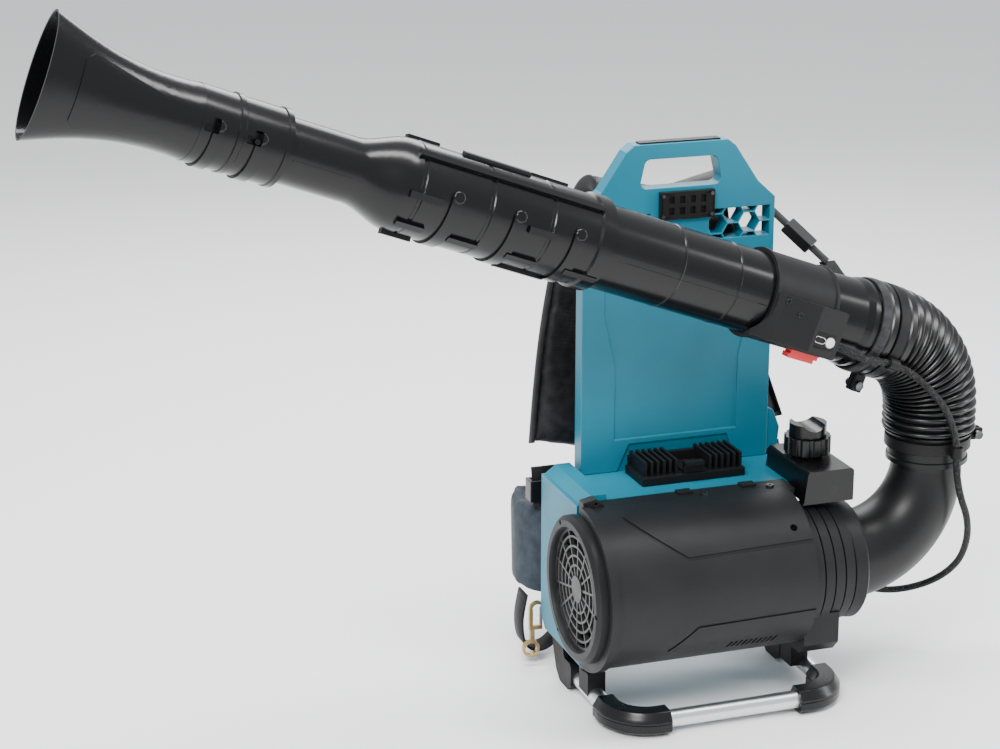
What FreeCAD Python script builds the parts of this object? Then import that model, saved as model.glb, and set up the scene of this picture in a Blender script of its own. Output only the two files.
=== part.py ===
"""Backpack leaf blower, in millimetres.

The model is drawn about the fan's axis: +X runs along the fan towards its outlet, +Y points to the
wearer and +Z is up. At the end every piece is moved so that the origin is the middle of the footprint.
"""

import math
import os

import FreeCAD
import Part

os.makedirs("parts", exist_ok=True)

V = FreeCAD.Vector
X, Y, Z = V(1, 0, 0), V(0, 1, 0), V(0, 0, 1)

# ---------------------------------------------------------------- driving dimensions
GROUND_Z = -144.0          # the feet stand here, below the fan's axis
WALL = 3.0                 # usual wall of a moulded shell
GAP = 0.4                  # clearance between pieces that move past each other

RING_FRONT_X = -165.0      # inlet ring
RING_BACK_X = -153.0
RING_R = 77.5
RING_OPEN_R = 64.0
COVER_R = 85.0             # front cover, a half tube round the fan
COVER_LEFT_X = -153.0
COVER_RIGHT_X = 76.0
COLLAR_R = 60.0            # ribbed outlet collar
COLLAR_RIGHT_X = 147.0
DUCT_R = 66.0              # bore of the fan duct

BASE_LEFT_X = -150.0       # base housing
BASE_RIGHT_X = 106.0
BASE_BACK_Y = 131.0
DECK_Z = 82.0
SHOULDER_Z = 91.0
UNDER_Z = -92.0

PANEL_X = -4.0             # back panel, its middle
PANEL_HALF = 109.0
PANEL_FRONT_Y = 110.0
PANEL_BACK_Y = 130.0
PANEL_SIDE_Z = 372.0
PANEL_TOP_Z = 437.0

TUBE_R = 9.5               # carrying frame, 19 mm aluminium tube
TUBE_Z = -130.0
TUBE_FRONT_Y = -62.0
TUBE_LEFT_X = -130.0
TUBE_RIGHT_X = 116.0
TUBE_REAR_Y = 78.0
TUBE_BEND_R = 38.0

ELBOW_R = 94.0             # the elbow's bend, along its middle
TURN_X = COLLAR_RIGHT_X + ELBOW_R   # the upright axis that the hose turns about
ELBOW_TOP_Z = 116.0
ELBOW_FOOT_R = 48.0        # the elbow narrows upwards
ELBOW_HEAD_R = 37.5
CUFF_R = 43.5
HOSE_R = 50.0
HOSE_START_Z = 159.5
HOSE_LOW_Z = 134.0         # the bellows starts here, below its bend
HOSE_BEND_R = 92.0
PIPE_PITCH = 20.8          # degrees above level
PIPE_SWING = 5.7           # degrees away from the panel

PIPE_R = 42.0              # stations along the blower pipe are counted from the hose's end
COLLAR_S = (99.0, 177.0)
SLEEVE_S = (371.0, 584.0)
FLARE_END_S = 638.0
SOCKET_S = (711.0, 798.0)
MOUTH_S = 940.0
SLEEVE_R = 45.0
FRONT_TUBE_R = 31.0
SOCKET_R = 36.0
MOUTH_TALL = 118.0
MOUTH_WIDE = 58.0
CABLE_R = 3.8


# ---------------------------------------------------------------- plain shapes
def box(x0, x1, y0, y1, z0, z1):
    return Part.makeBox(x1 - x0, y1 - y0, z1 - z0, V(x0, y0, z0))


def rod(radius, start, end):
    """A solid cylinder from one point to another."""
    start, end = V(*start), V(*end)
    return Part.makeCylinder(radius, (end - start).Length, start, end - start)


def ring(outer, inner, start, end):
    return rod(outer, start, end).cut(rod(inner, start, end))


def revolve_x(profile):
    """A body of revolution about the fan's axis from its (x, radius) outline."""
    face = Part.Face(Part.makePolygon([V(x, 0, r) for x, r in profile + profile[:1]]))
    return face.revolve(V(0, 0, 0), X, 360)


def revolve_z(profile):
    """A body of revolution about the Z axis from its (z, radius) outline."""
    face = Part.Face(Part.makePolygon([V(r, 0, z) for z, r in profile + profile[:1]]))
    return face.revolve(V(0, 0, 0), Z, 360)


def plate(points, low, high, axis="z"):
    """An outline pushed from low to high along an axis; its points are the other two coordinates."""
    place = {
        "x": lambda a, b: V(low, a, b),
        "y": lambda a, b: V(a, low, b),
        "z": lambda a, b: V(a, b, low),
    }[axis]
    push = {"x": V(high - low, 0, 0), "y": V(0, high - low, 0), "z": V(0, 0, high - low)}[axis]
    corners = [place(a, b) for a, b in points]
    return Part.Face(Part.makePolygon(corners + corners[:1])).extrude(push)


def fused(shapes):
    shapes = list(shapes)
    if len(shapes) == 1:
        return shapes[0]
    return shapes[0].multiFuse(shapes[1:]).removeSplitter()


def cut_all(shape, tools):
    return shape.cut(fused(tools))


def group(shapes):
    """Separate solids that share one node, such as identical screws."""
    return Part.makeCompound(list(shapes))


def soften(shape, radius, wanted):
    """Round the edges that wanted() picks, or leave them if the kernel can't."""
    edges = [e for e in shape.Edges if wanted(e)]
    try:
        rounded = shape.makeFillet(radius, edges)
    except Part.OCCError:
        return shape
    return rounded if rounded.isValid() and rounded.Volume > 0 else shape


def is_line_along(edge, axis):
    if not isinstance(edge.Curve, Part.Line):
        return False
    return abs(edge.tangentAt(edge.FirstParameter).dot(axis)) > 0.999


def mirrored_x(shape, middle):
    return shape.mirror(V(middle, 0, 0), X)


def turned(shape, axis, degrees, centre=(0, 0, 0)):
    copy = shape.copy()
    copy.rotate(V(*centre), axis, degrees)
    return copy


def moved(shape, x=0.0, y=0.0, z=0.0):
    copy = shape.copy()
    copy.translate(V(x, y, z))
    return copy


# ---------------------------------------------------------------- the pipe's own frame
def swing(shape):
    """Turn the hose and pipe about the upright axis, away from the back panel."""
    return turned(shape, Z, PIPE_SWING, (TURN_X, 0, 0))


HOSE_TURN = math.radians(90.0 - PIPE_PITCH)
PIPE_START = V(
    TURN_X - HOSE_BEND_R * (1 - math.cos(HOSE_TURN)),
    0,
    HOSE_START_Z + HOSE_BEND_R * math.sin(HOSE_TURN),
)


def on_pipe(shape):
    """Carry a shape drawn along Z, with +Y up and +X to the open side, to its place on the pipe."""
    pitch = math.radians(PIPE_PITCH)
    ahead = V(-math.cos(pitch), 0, math.sin(pitch))
    up = V(math.sin(pitch), 0, math.cos(pitch))
    side = V(0, -1, 0)
    matrix = FreeCAD.Matrix(
        side.x, up.x, ahead.x, PIPE_START.x,
        side.y, up.y, ahead.y, PIPE_START.y,
        side.z, up.z, ahead.z, PIPE_START.z,
        0, 0, 0, 1,
    )
    copy = shape.copy()
    copy.transformShape(matrix)
    return swing(copy)


def behind_pipe(shape):
    """Carry a shape drawn below the pipe round to the pipe's side that faces the panel."""
    return on_pipe(turned(shape, Z, -90))


# ---------------------------------------------------------------- fan and motor, inside
def inlet_ring():
    face = [
        (RING_FRONT_X, RING_OPEN_R + 2),
        (RING_FRONT_X, RING_R - 5),
        (RING_FRONT_X + 4, RING_R),
        (RING_BACK_X, RING_R),
        (RING_BACK_X, RING_OPEN_R),
        (RING_FRONT_X + 3, RING_OPEN_R),
    ]
    holes = [turned(rod(2.6, (-170, 0, 71), (-150, 0, 71)), X, a) for a in RING_SCREWS]
    return cut_all(revolve_x(face), holes)


RING_SCREWS = (-28, 92, 212)


def inlet_grille():
    """A spider's-web guard: a hub, four rings and fourteen spokes inside the inlet ring."""
    x0, x1 = RING_FRONT_X + 7, RING_BACK_X
    rings = [ring(r + 1.2, r - 1.2, (x0, 0, 0), (x1, 0, 0)) for r in (25, 35, 45, 55)]
    rings.append(ring(RING_OPEN_R - 0.05, RING_OPEN_R - 3, (x0, 0, 0), (x1, 0, 0)))
    hub = rod(14, (x0 - 1, 0, 0), (x1, 0, 0))
    spoke = box(x0, x1, -1.2, 1.2, 12, RING_OPEN_R - 1.5)
    spokes = [turned(spoke, X, i * 360 / 14) for i in range(14)]
    return fused([hub] + rings + spokes)


def fan_duct():
    """The air duct with the motor's pod held in it by seven vanes."""
    shell = ring(DUCT_R + WALL, DUCT_R, (-152, 0, 0), (72, 0, 0))
    pod = revolve_x([(-66, 0), (-66, 40), (44, 40), (70, 18), (70, 0)])
    inside = rod(37, (-62, 0, 0), (40, 0, 0))
    bores = [rod(11.0, (-67, 0, 0), (-61, 0, 0))]
    vane = box(-58, 30, -1.5, 1.5, 38, DUCT_R + 1)
    vanes = [turned(vane, X, i * 360 / 7) for i in range(7)]
    rear_hub = ring(15, 11, (29, 0, 0), (36, 0, 0))
    arms = [turned(box(29, 36, -2.5, 2.5, 13, 38), X, i * 120) for i in range(3)]
    body = fused([shell, pod] + vanes).cut(fused([inside] + bores))
    return fused([body, rear_hub] + arms)


def stator():
    core = ring(36.8, 23, (-45, 0, 0), (15, 0, 0))
    slots = [turned(box(-46, 16, -3, 3, 22, 32), X, i * 30) for i in range(12)]
    return cut_all(core, slots)


def bearings():
    """Two ball bearings; each is a ring of its own."""
    front = ring(11, 5.05, (-66, 0, 0), (-59, 0, 0))
    rear = ring(11, 5.05, (29, 0, 0), (36, 0, 0))
    return group([front, rear])


def rotor_shaft():
    return rod(5, (-128, 0, 0), (38, 0, 0))


def rotor_magnets():
    return ring(22, 5, (-43, 0, 0), (13, 0, 0))


def impeller():
    """An axial fan wheel: a hub with a rounded nose and eleven twisted blades."""
    hub = revolve_x([(-140, 0), (-136, 12), (-129, 21), (-118, 26), (-112, 31), (-74, 36), (-74, 5),
                     (-128, 5), (-128, 0)])
    blades = []
    for i in range(11):
        blade = box(-111, -82, -1.4, 1.4, 29, DUCT_R - 1.6)
        blade = turned(blade, Z, 33, (-96.5, 0, 0))
        blades.append(turned(blade, X, i * 360 / 11))
    wheel = fused([hub] + blades)
    return wheel.common(rod(DUCT_R - 1.6, (-145, 0, 0), (-70, 0, 0)))


# ---------------------------------------------------------------- housing
def base_profile():
    return [(-4, UNDER_Z + 6), (4, UNDER_Z), (118, UNDER_Z), (BASE_BACK_Y, UNDER_Z + 14),
            (BASE_BACK_Y, DECK_Z), (24.5, DECK_Z), (24.5, 60), (-4, 60)]


def base_housing():
    """The coloured casing behind the fan, with a raised shoulder at its left end."""
    body = plate(base_profile(), BASE_LEFT_X, BASE_RIGHT_X, "x")
    left = plate(
        [(BASE_LEFT_X, DECK_Z - 12), (BASE_LEFT_X, DECK_Z - 3), (-134, SHOULDER_Z),
         (-118, SHOULDER_Z), (-114, DECK_Z - 12)], 18, BASE_BACK_Y, "y")
    inner = plate(
        [(BASE_LEFT_X, -30), (BASE_LEFT_X, DECK_Z - 3), (-134, SHOULDER_Z), (-134, -30)],
        18, BASE_BACK_Y, "y")
    body = fused([body, left, inner])
    barrel = rod(DUCT_R + WALL + 0.05, (-160, 0, 0), (120, 0, 0))
    room = box(BASE_LEFT_X + 4, BASE_RIGHT_X - 4, 74, BASE_BACK_Y - 4, UNDER_Z + 18, DECK_Z - 4)
    cover_room = rod(COVER_R + 0.05, (COVER_LEFT_X - 1, 0, 0), (BASE_RIGHT_X + 5, 0, 0)).common(
        box(-160, 120, -100, 4, -100, 100))
    seat = box(-113 - 0.05, 105 + 0.05, PANEL_FRONT_Y - 0.05, 135, DECK_Z - 0.05, 100)
    flange_room = box(COVER_LEFT_X, BASE_RIGHT_X + 1, -10, 24.4, 59, DECK_Z + 12)
    return cut_all(body, [barrel, room, cover_room, seat, flange_room])


def half_tube(outer, inner, x0, x1, start, sweep):
    """Part of a tube round the fan; start is counted from +Y towards +Z."""
    a = math.radians(start)
    corners = [V(x, r * math.cos(a), r * math.sin(a)) for x, r in
               ((x0, inner), (x1, inner), (x1, outer), (x0, outer))]
    face = Part.Face(Part.makePolygon(corners + corners[:1]))
    return face.revolve(V(0, 0, 0), X, sweep)


COVER_FROM = 87.0          # degrees round the fan from +Y, the cover's upper edge
COVER_SWEEP = 186.0
COVER_BORE_R = 79.0


# grooves across the cover, seen from in front: from the ear down and along, and one below
COVER_GROOVES = (
    ((-118, 81), (-64, 47.5), (78, 50)),
    ((-84, -52.3), (-56, -23.4), (78, -20.6)),
)


def front_cover():
    """The dark half-round cover: bead at its left rim, top flange, ribs, grooves and cooling slots."""
    shell = half_tube(COVER_R, COVER_BORE_R, COVER_LEFT_X, COVER_RIGHT_X, COVER_FROM, COVER_SWEEP)
    bead = half_tube(COVER_R + 2.5, COVER_BORE_R, COVER_LEFT_X, COVER_LEFT_X + 9, COVER_FROM, COVER_SWEEP)
    wall = half_tube(COVER_R, DUCT_R + WALL + 0.1, COVER_LEFT_X, COVER_LEFT_X + 4, COVER_FROM, COVER_SWEEP)
    flange = plate([(-4.2, 78), (-4.2, 84.5), (24.3, DECK_Z + 3), (24.3, DECK_Z - 5), (4, 74)],
                   -148, 84, "x")
    ear = plate([(-150, 76), (-150, SHOULDER_Z), (-136, SHOULDER_Z + 3), (-128, SHOULDER_Z - 4),
                 (-122, 76)], 6, 17.9, "y")
    clips = [box(x - 8, x + 8, 12, 23.5, DECK_Z - 1, 87.5) for x in (-33, 39)]
    body = fused([shell, bead, wall, flange, ear] + clips)
    skin = ring(COVER_R + 3, COVER_R - 1.3, (COVER_LEFT_X, 0, 0), (COVER_RIGHT_X + 4, 0, 0))
    slots = [plate(strip(line, 2.8), -COVER_R - 5, 0, "y").common(skin) for line in COVER_GROOVES]
    for i in range(10):
        slot = box(-15 + i * 5.6, -12.4 + i * 5.6, -100, -70, -6, 6)
        slot = turned(slot, Y, 18, (-14 + i * 5.6, 0, 0))
        slots.append(turned(slot, X, 41))
    hole = turned(rod(4, (58, -100, 0), (58, -70, 0)), X, -47)
    slots += [rod(4.25, (x, y, 76), (x, y, 90)) for x, y in COVER_SCREWS]
    return cut_all(body, [hole, rod(DUCT_R + WALL + 0.05, (-170, 0, 0), (90, 0, 0))] + slots)


COLLAR_DROP = 3.0          # the collar's outside is drawn this far below the fan's axis
COLLAR_GROOVES = 4


def outlet_collar():
    """The ribbed collar that the elbow screws to, on its own foot."""
    left, right = COVER_RIGHT_X + 0.05, COLLAR_RIGHT_X
    outline = [(left, 40), (left, COLLAR_R + 10)]
    pitch = (right - left - 8) / (COLLAR_GROOVES + 1)
    for i in range(1, COLLAR_GROOVES + 1):
        x, r = left + 4 + i * pitch, COLLAR_R + 10 - 1.8 * i
        outline += [(x - 1.2, r + 0.9), (x - 1.0, r - 2.6), (x + 1.0, r - 2.6), (x + 1.2, r - 0.5)]
    outline += [(right - 3, COLLAR_R + 4), (right, COLLAR_R + 1), (right, 40)]
    round_part = moved(revolve_x(outline), z=-COLLAR_DROP)
    foot = plate([(-44, 6 + UNDER_Z), (40, 6 + UNDER_Z), (40, -40), (-56, -40), (-56, -74)], left, 116, "x")
    filling = ring(COLLAR_R, 45, (left, 0, 0), (right, 0, 0))
    throat = rod(50, (70, 0, 0), (160, 0, 0))
    tunnel = rod(DUCT_R + WALL + 0.1, (60, 0, 0), (COVER_RIGHT_X + 0.1, 0, 0))
    keep_out = box(70, BASE_RIGHT_X + 0.05, -4.05, 140, -100, 60.05)
    behind = rod(COVER_R, (70, 0, 0), (BASE_RIGHT_X + 0.05, 0, 0))
    behind = behind.common(box(60, 120, -3.95, 100, -100, 100))
    return cut_all(fused([round_part, foot, filling]), [throat, tunnel, keep_out, behind])


COVER_SCREWS = ((-136, 10), (-15, 6), (60, 6))


def cover_screws():
    heads = []
    for x, y in COVER_SCREWS:
        head = rod(4.2, (x, y, 80), (x, y, 87.5))
        head = head.cut(rod(1.6, (x, y, 85.8), (x, y, 88)))
        heads.append(head)
    return heads


def ring_screws():
    screw = rod(2.55, (RING_FRONT_X + 1.5, 0, 71), (RING_BACK_X + 0.5, 0, 71))
    screw = screw.cut(rod(1.2, (RING_FRONT_X, 0, 71), (RING_FRONT_X + 3, 0, 71)))
    return [turned(screw, X, a) for a in RING_SCREWS]


def hexagon_tool(x, z, r):
    points = [(x + r * math.cos(math.radians(60 * i)), z + r * math.sin(math.radians(60 * i)))
              for i in range(6)]
    return plate(points, PANEL_FRONT_Y - 3, PANEL_BACK_Y + 3, "y")


def panel_outline(inset=0.0):
    half = [(PANEL_HALF - inset, DECK_Z + inset), (PANEL_HALF - inset, PANEL_SIDE_Z - inset),
            (89 - inset, 390 - inset), (62 - inset, 430 - inset), (53 - inset, PANEL_TOP_Z - inset)]
    right = [(PANEL_X + x, z) for x, z in half]
    left = [(PANEL_X - x, z) for x, z in reversed(half)]
    return right + left


CELL_R = 12.4              # a honeycomb cell, from its middle to a corner between walls


def back_panel():
    """The tall coloured back: a moulded shell with a carrying handle and a honeycomb band."""
    body = plate(panel_outline(), PANEL_FRONT_Y, PANEL_BACK_Y, "y")
    right = PANEL_X + PANEL_HALF
    gusset = plate([(right - 1, DECK_Z + 6), (right + 14, DECK_Z + 6), (right + 16, DECK_Z + 30),
                    (right + 8, DECK_Z + 50), (right - 1, DECK_Z + 54)],
                   PANEL_FRONT_Y + 3, PANEL_BACK_Y - 4, "y")
    body = fused([body, gusset])
    grip_hole = plate(
        [(PANEL_X - 47, 390), (PANEL_X + 47, 390), (PANEL_X + 40, 421), (PANEL_X - 40, 421)],
        PANEL_FRONT_Y - 5, PANEL_BACK_Y + 5, "y")
    grip_hole = soften(grip_hole, 7, lambda e: is_line_along(e, Y))
    hollow = box(PANEL_X - PANEL_HALF + 6, PANEL_X + PANEL_HALF - 6, PANEL_FRONT_Y + 5, PANEL_BACK_Y + 1,
                 DECK_Z + 8, 322)
    recess = plate([(PANEL_X - 68, DECK_Z - 1), (PANEL_X + 72, DECK_Z - 1), (PANEL_X + 60, 112),
                    (PANEL_X - 54, 112)], PANEL_FRONT_Y - 1, PANEL_FRONT_Y + 3, "y")
    field_points = [(PANEL_X - 84, 300), (PANEL_X - 84, 258), (PANEL_X - 71, 200), (PANEL_X - 71, 118),
                    (PANEL_X + 71, 118), (PANEL_X + 71, 200), (PANEL_X + 84, 258), (PANEL_X + 84, 300)]
    field = plate(field_points, PANEL_FRONT_Y - 1, PANEL_FRONT_Y + 1.6, "y")
    tools = [grip_hole, hollow, recess, field]
    for side in (-1, 1):
        edges = sorted((PANEL_X + side * 33, PANEL_X + side * 103))
        window = box(edges[0], edges[1], PANEL_FRONT_Y - 2, PANEL_BACK_Y + 2, 331, 363)
        for column in range(4):
            for row in range(3):
                x = PANEL_X + side * (42 + CELL_R * 1.5 * column)
                z = 325 + CELL_R * math.sqrt(3) * (row + (column % 2) / 2)
                cell = hexagon_tool(x, z, CELL_R - 0.9).common(window)
                if cell.Volume > 400:
                    tools.append(cell)
    inlay_seat = box(PANEL_X - 46, PANEL_X + 46, PANEL_FRONT_Y + 3.95, PANEL_BACK_Y - 3.95, 432, 440)
    return cut_all(body, tools + [inlay_seat])


def handle_inlay():
    return box(PANEL_X - 45.9, PANEL_X + 45.9, PANEL_FRONT_Y + 4, PANEL_BACK_Y - 4,
               432.05, PANEL_TOP_Z + 1.5)


def latch_plate():
    """A dark plate on the panel with two rows of locating slots."""
    body = box(2 - 31, 2 + 31, PANEL_FRONT_Y - 5, PANEL_FRONT_Y - 0.05, 356, 386)
    slots = [box(x, x + 6, PANEL_FRONT_Y - 6, PANEL_FRONT_Y - 2, z, z + 8)
             for x in (-19, -7, 5, 17) for z in (361, 373)]
    holes = [rod(2.05, (x, 100, z), (x, 112, z)) for x, z in LATCH_SCREWS]
    return cut_all(body, slots + holes)


LATCH_SCREWS = ((-25.5, 360), (29.5, 360), (-25.5, 382), (29.5, 382))


def latch_screws():
    return [rod(2, (x, PANEL_FRONT_Y - 6.2, z), (x, PANEL_FRONT_Y - 0.1, z)) for x, z in LATCH_SCREWS]


def connector_dock():
    """The holder on the deck that a battery pack's lead rests in: two combs and a middle rib."""
    bed = box(-64, 54, 55, 105, DECK_Z + 0.05, DECK_Z + 9)
    fins = []
    for x0 in (-60, 14):
        for i in range(6):
            fins.append(box(x0 + i * 7, x0 + i * 7 + 3, 60, 104, DECK_Z + 8, DECK_Z + 25))
    back = box(-62, 52, 99, 105, DECK_Z + 8, DECK_Z + 20)
    return fused([bed, back] + fins)


def dock_clip():
    arm = box(-16, 6, 58, 62, DECK_Z + 9.1, DECK_Z + 22)
    hook = box(-16, 6, 54, 62, DECK_Z + 18, DECK_Z + 22)
    foot = box(-16, 6, 58, 80, DECK_Z + 9.1, DECK_Z + 12)
    return fused([arm, hook, foot])


# ---------------------------------------------------------------- power socket
CAP_X, CAP_Y, CAP_R = 118.0, 38.0, 25.0


def socket_module():
    body = plate([(88, 72), (82, 62), (145, 62), (145, 105), (92, 105)], -20, 78, "y")
    body = soften(body, 4, lambda e: is_line_along(e, Y) and e.BoundBox.ZMin > 100)
    room = rod(COLLAR_R + 12.1, (70, 0, 0), (150, 0, 0))
    deck = box(80, BASE_RIGHT_X + 0.05, 17.95, 140, 55, DECK_Z + 0.05)
    flange = box(80, 84.1, -30, 24.4, 60, 90)
    bay = box(94, 139, -10, 70, 78, 99)
    well = rod(17, (CAP_X, CAP_Y, 96), (CAP_X, CAP_Y, 110))
    return cut_all(body, [room, deck, flange, bay, well])


def plug_body():
    """The power plug that stands in the socket, with a saddle-shaped top."""
    stem = rod(16.9, (CAP_X, CAP_Y, 99), (CAP_X, CAP_Y, 108))
    post = rod(14, (CAP_X, CAP_Y, 107), (CAP_X, CAP_Y, 136))
    top = rod(20, (CAP_X, CAP_Y, 127), (CAP_X, CAP_Y, 141))
    saddle = turned(rod(16, (-40, 0, 0), (40, 0, 0)), Z, 90)
    saddle = moved(saddle, CAP_X, CAP_Y, 151)
    return cut_all(fused([stem, post, top]), [saddle])


def locking_ring():
    body = ring(CAP_R, 14.3, (CAP_X, CAP_Y, 108.4), (CAP_X, CAP_Y, 126.6))
    notch = rod(3.2, (CAP_X, CAP_Y, 0), (CAP_X, CAP_Y, 40))
    cuts = []
    for i in range(12):
        cuts.append(turned(moved(notch, CAP_R + 1.2, 0, 100), Z, i * 30 + 15, (CAP_X, CAP_Y, 0)))
    return cut_all(body, cuts)


# ---------------------------------------------------------------- controller
def controller_board():
    return box(-90, 60, 84, 86, -60, 40)


def heat_sink():
    base = box(-60, 30, 86.05, 90, -45, 30)
    fins = [box(-58 + i * 11, -55 + i * 11, 89.9, 108, -45, 30) for i in range(8)]
    return fused([base] + fins)


# ---------------------------------------------------------------- carrying frame
def frame_path():
    left, right, front, rear, r = TUBE_LEFT_X, TUBE_RIGHT_X, TUBE_FRONT_Y, TUBE_REAR_Y, TUBE_BEND_R
    z = TUBE_Z
    d = r * (1 - math.sqrt(0.5))
    return Part.Wire([
        Part.LineSegment(V(left, rear, z), V(left, front + r, z)).toShape(),
        Part.Arc(V(left, front + r, z), V(left + d, front + d, z), V(left + r, front, z)).toShape(),
        Part.LineSegment(V(left + r, front, z), V(right - r, front, z)).toShape(),
        Part.Arc(V(right - r, front, z), V(right - d, front + d, z), V(right, front + r, z)).toShape(),
        Part.LineSegment(V(right, front + r, z), V(right, rear, z)).toShape(),
    ])


def swept(path, profile):
    return path.makePipeShell([profile], True, True)


def frame_tube():
    start, along = V(TUBE_LEFT_X, TUBE_REAR_Y, TUBE_Z), V(0, -1, 0)
    outer = swept(frame_path(), Part.Wire(Part.makeCircle(TUBE_R, start, along)))
    inner = swept(frame_path(), Part.Wire(Part.makeCircle(TUBE_R - 1.5, start, along)))
    return outer.cut(inner)


SLEEVE_OUT_R = 14.5        # the corner sleeves' half width
SLEEVE_ARM = 12.0          # how far a sleeve runs past the tube's bend


def sleeve_section():
    """A corner sleeve's section across the tube, as (outward, up) points."""
    r = SLEEVE_OUT_R
    right = [(r - 5, 2 - r), (r, -r + 6), (r, 3), (r - 6, r - 2)]
    return right + [(-y, z) for y, z in right[::-1]]


def corner_sleeve():
    """A full corner sleeve at the left front, later parted into its lower and upper half."""
    x, y, z, r = TUBE_LEFT_X, TUBE_FRONT_Y, TUBE_Z, TUBE_BEND_R
    section = sleeve_section()
    along_x = moved(plate(section, 0, SLEEVE_ARM, "x"), x + r, y, z)
    along_y = moved(plate([(a, b) for a, b in section], 0, SLEEVE_ARM, "y"), x, y + r, z)
    corners = [V(x + a, y + r, z + b) for a, b in section]
    profile = Part.Wire(Part.makePolygon(corners + corners[:1]))
    d = r * (1 - math.sqrt(0.5))
    bend = Part.Wire([Part.Arc(V(x, y + r, z), V(x + d, y + d, z), V(x + r, y, z)).toShape()])
    corner = swept(bend, profile)
    nubs = [box(x + r + 1, x + r + SLEEVE_ARM - 1, y - 7, y + 7, GROUND_Z, z - 12),
            box(x - 7, x + 7, y + r + 1, y + r + SLEEVE_ARM - 1, GROUND_Z, z - 12)]
    return fused([along_x, along_y, corner] + nubs)


def corner_sleeves():
    """Lower and upper halves of the left and right corner sleeves."""
    core = swept(frame_path(), Part.Wire(Part.makeCircle(TUBE_R + 0.05,
                                                         V(TUBE_LEFT_X, TUBE_REAR_Y, TUBE_Z), V(0, -1, 0))))
    left = corner_sleeve().cut(core)
    below = box(-200, 200, -200, 200, GROUND_Z - 5, TUBE_Z - 0.05)
    above = box(-200, 200, -200, 200, TUBE_Z + 0.05, -90)
    middle = (TUBE_LEFT_X + TUBE_RIGHT_X) / 2
    lower, upper = left.common(below), left.common(above)
    return lower, upper, mirrored_x(lower, middle), mirrored_x(upper, middle)


def rear_bracket(x):
    """A curved foot that takes the tube's end and bolts up to the casing."""
    side = plate([(58, -112), (58, -138), (68, GROUND_Z), (92, GROUND_Z), (104, -134), (114, -110),
                  (118, UNDER_Z - 0.05), (86, UNDER_Z - 0.05), (80, -112)], x - 12, x + 12, "x")
    side = soften(side, 6, lambda e: is_line_along(e, X) and -140 < e.BoundBox.ZMin < -104)
    return side.cut(rod(TUBE_R + 0.05, (x, 40, TUBE_Z), (x, TUBE_REAR_Y + 0.05, TUBE_Z)))


def buffer(x, y):
    """A rubber mount between the casing's underside and the frame tube, on a plastic saddle."""
    waist = revolve_z([(0, 0), (0, 12), (4, 9), (8, 9), (12, 12), (12, 0)])
    rubber = moved(waist, x, y, UNDER_Z - 12.05)
    saddle = box(x - 10, x + 10, y - 13, y + 13, TUBE_Z + 1, UNDER_Z - 12.1)
    for tube_x in (TUBE_LEFT_X, TUBE_RIGHT_X):
        saddle = saddle.cut(rod(TUBE_R + 0.05, (tube_x, y - 40, TUBE_Z), (tube_x, y + 40, TUBE_Z)))
    return rubber, saddle


# ---------------------------------------------------------------- elbow and hose
def bend_solid(radius, at, along, pivot, degrees):
    """A solid bend: a disc at a point, facing along, swept about the level axis through pivot."""
    disc = Part.Face(Part.Wire(Part.makeCircle(radius, at, along)))
    solid = disc.revolve(pivot, V(0, -1, 0), degrees)
    if solid.Volume < 0:
        solid.reverse()
    return solid


def elbow_core(foot_radius, head_radius):
    """The elbow's narrowing bend and its upright top, as two solids."""
    middle = V(COLLAR_RIGHT_X + ELBOW_R * math.sqrt(0.5), 0, ELBOW_R * (1 - math.sqrt(0.5)))
    start, end = V(COLLAR_RIGHT_X, 0, 0), V(TURN_X, 0, ELBOW_R)
    shell = Part.BRepOffsetAPI.MakePipeShell(Part.Wire([Part.Arc(start, middle, end).toShape()]))
    shell.add(Part.Wire(Part.makeCircle(foot_radius, start, X)))
    shell.add(Part.Wire(Part.makeCircle(head_radius, end, Z)))
    shell.build()
    shell.makeSolid()
    top = rod(head_radius, (TURN_X, 0, ELBOW_R), (TURN_X, 0, ELBOW_TOP_Z))
    return shell.shape(), top


def elbow():
    bend, top = elbow_core(ELBOW_FOOT_R, ELBOW_HEAD_R)
    bore_bend, bore_top = elbow_core(ELBOW_FOOT_R - WALL, ELBOW_HEAD_R - WALL)
    spigot = ring(49.6, ELBOW_FOOT_R - WALL, (COLLAR_RIGHT_X - 18, 0, 0), (COLLAR_RIGHT_X, 0, 0))
    return fused([bend, top, spigot]).cut(bore_bend).cut(bore_top)


def lower_cuff():
    """The hose's plain lower end, clamped round the elbow's top."""
    inner = ELBOW_HEAD_R + 0.1
    low = ELBOW_TOP_Z - 16
    return revolve_at_turn([(low, inner), (low, CUFF_R), (low + 5, CUFF_R), (low + 6, CUFF_R - 1.5),
                            (low + 14, CUFF_R - 1.5), (low + 15, CUFF_R), (HOSE_LOW_Z - 6, CUFF_R),
                            (HOSE_LOW_Z - 0.1, HOSE_R - 2), (HOSE_LOW_Z - 0.1, inner)])


def revolve_at_turn(profile):
    return moved(revolve_z(profile), TURN_X)


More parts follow.
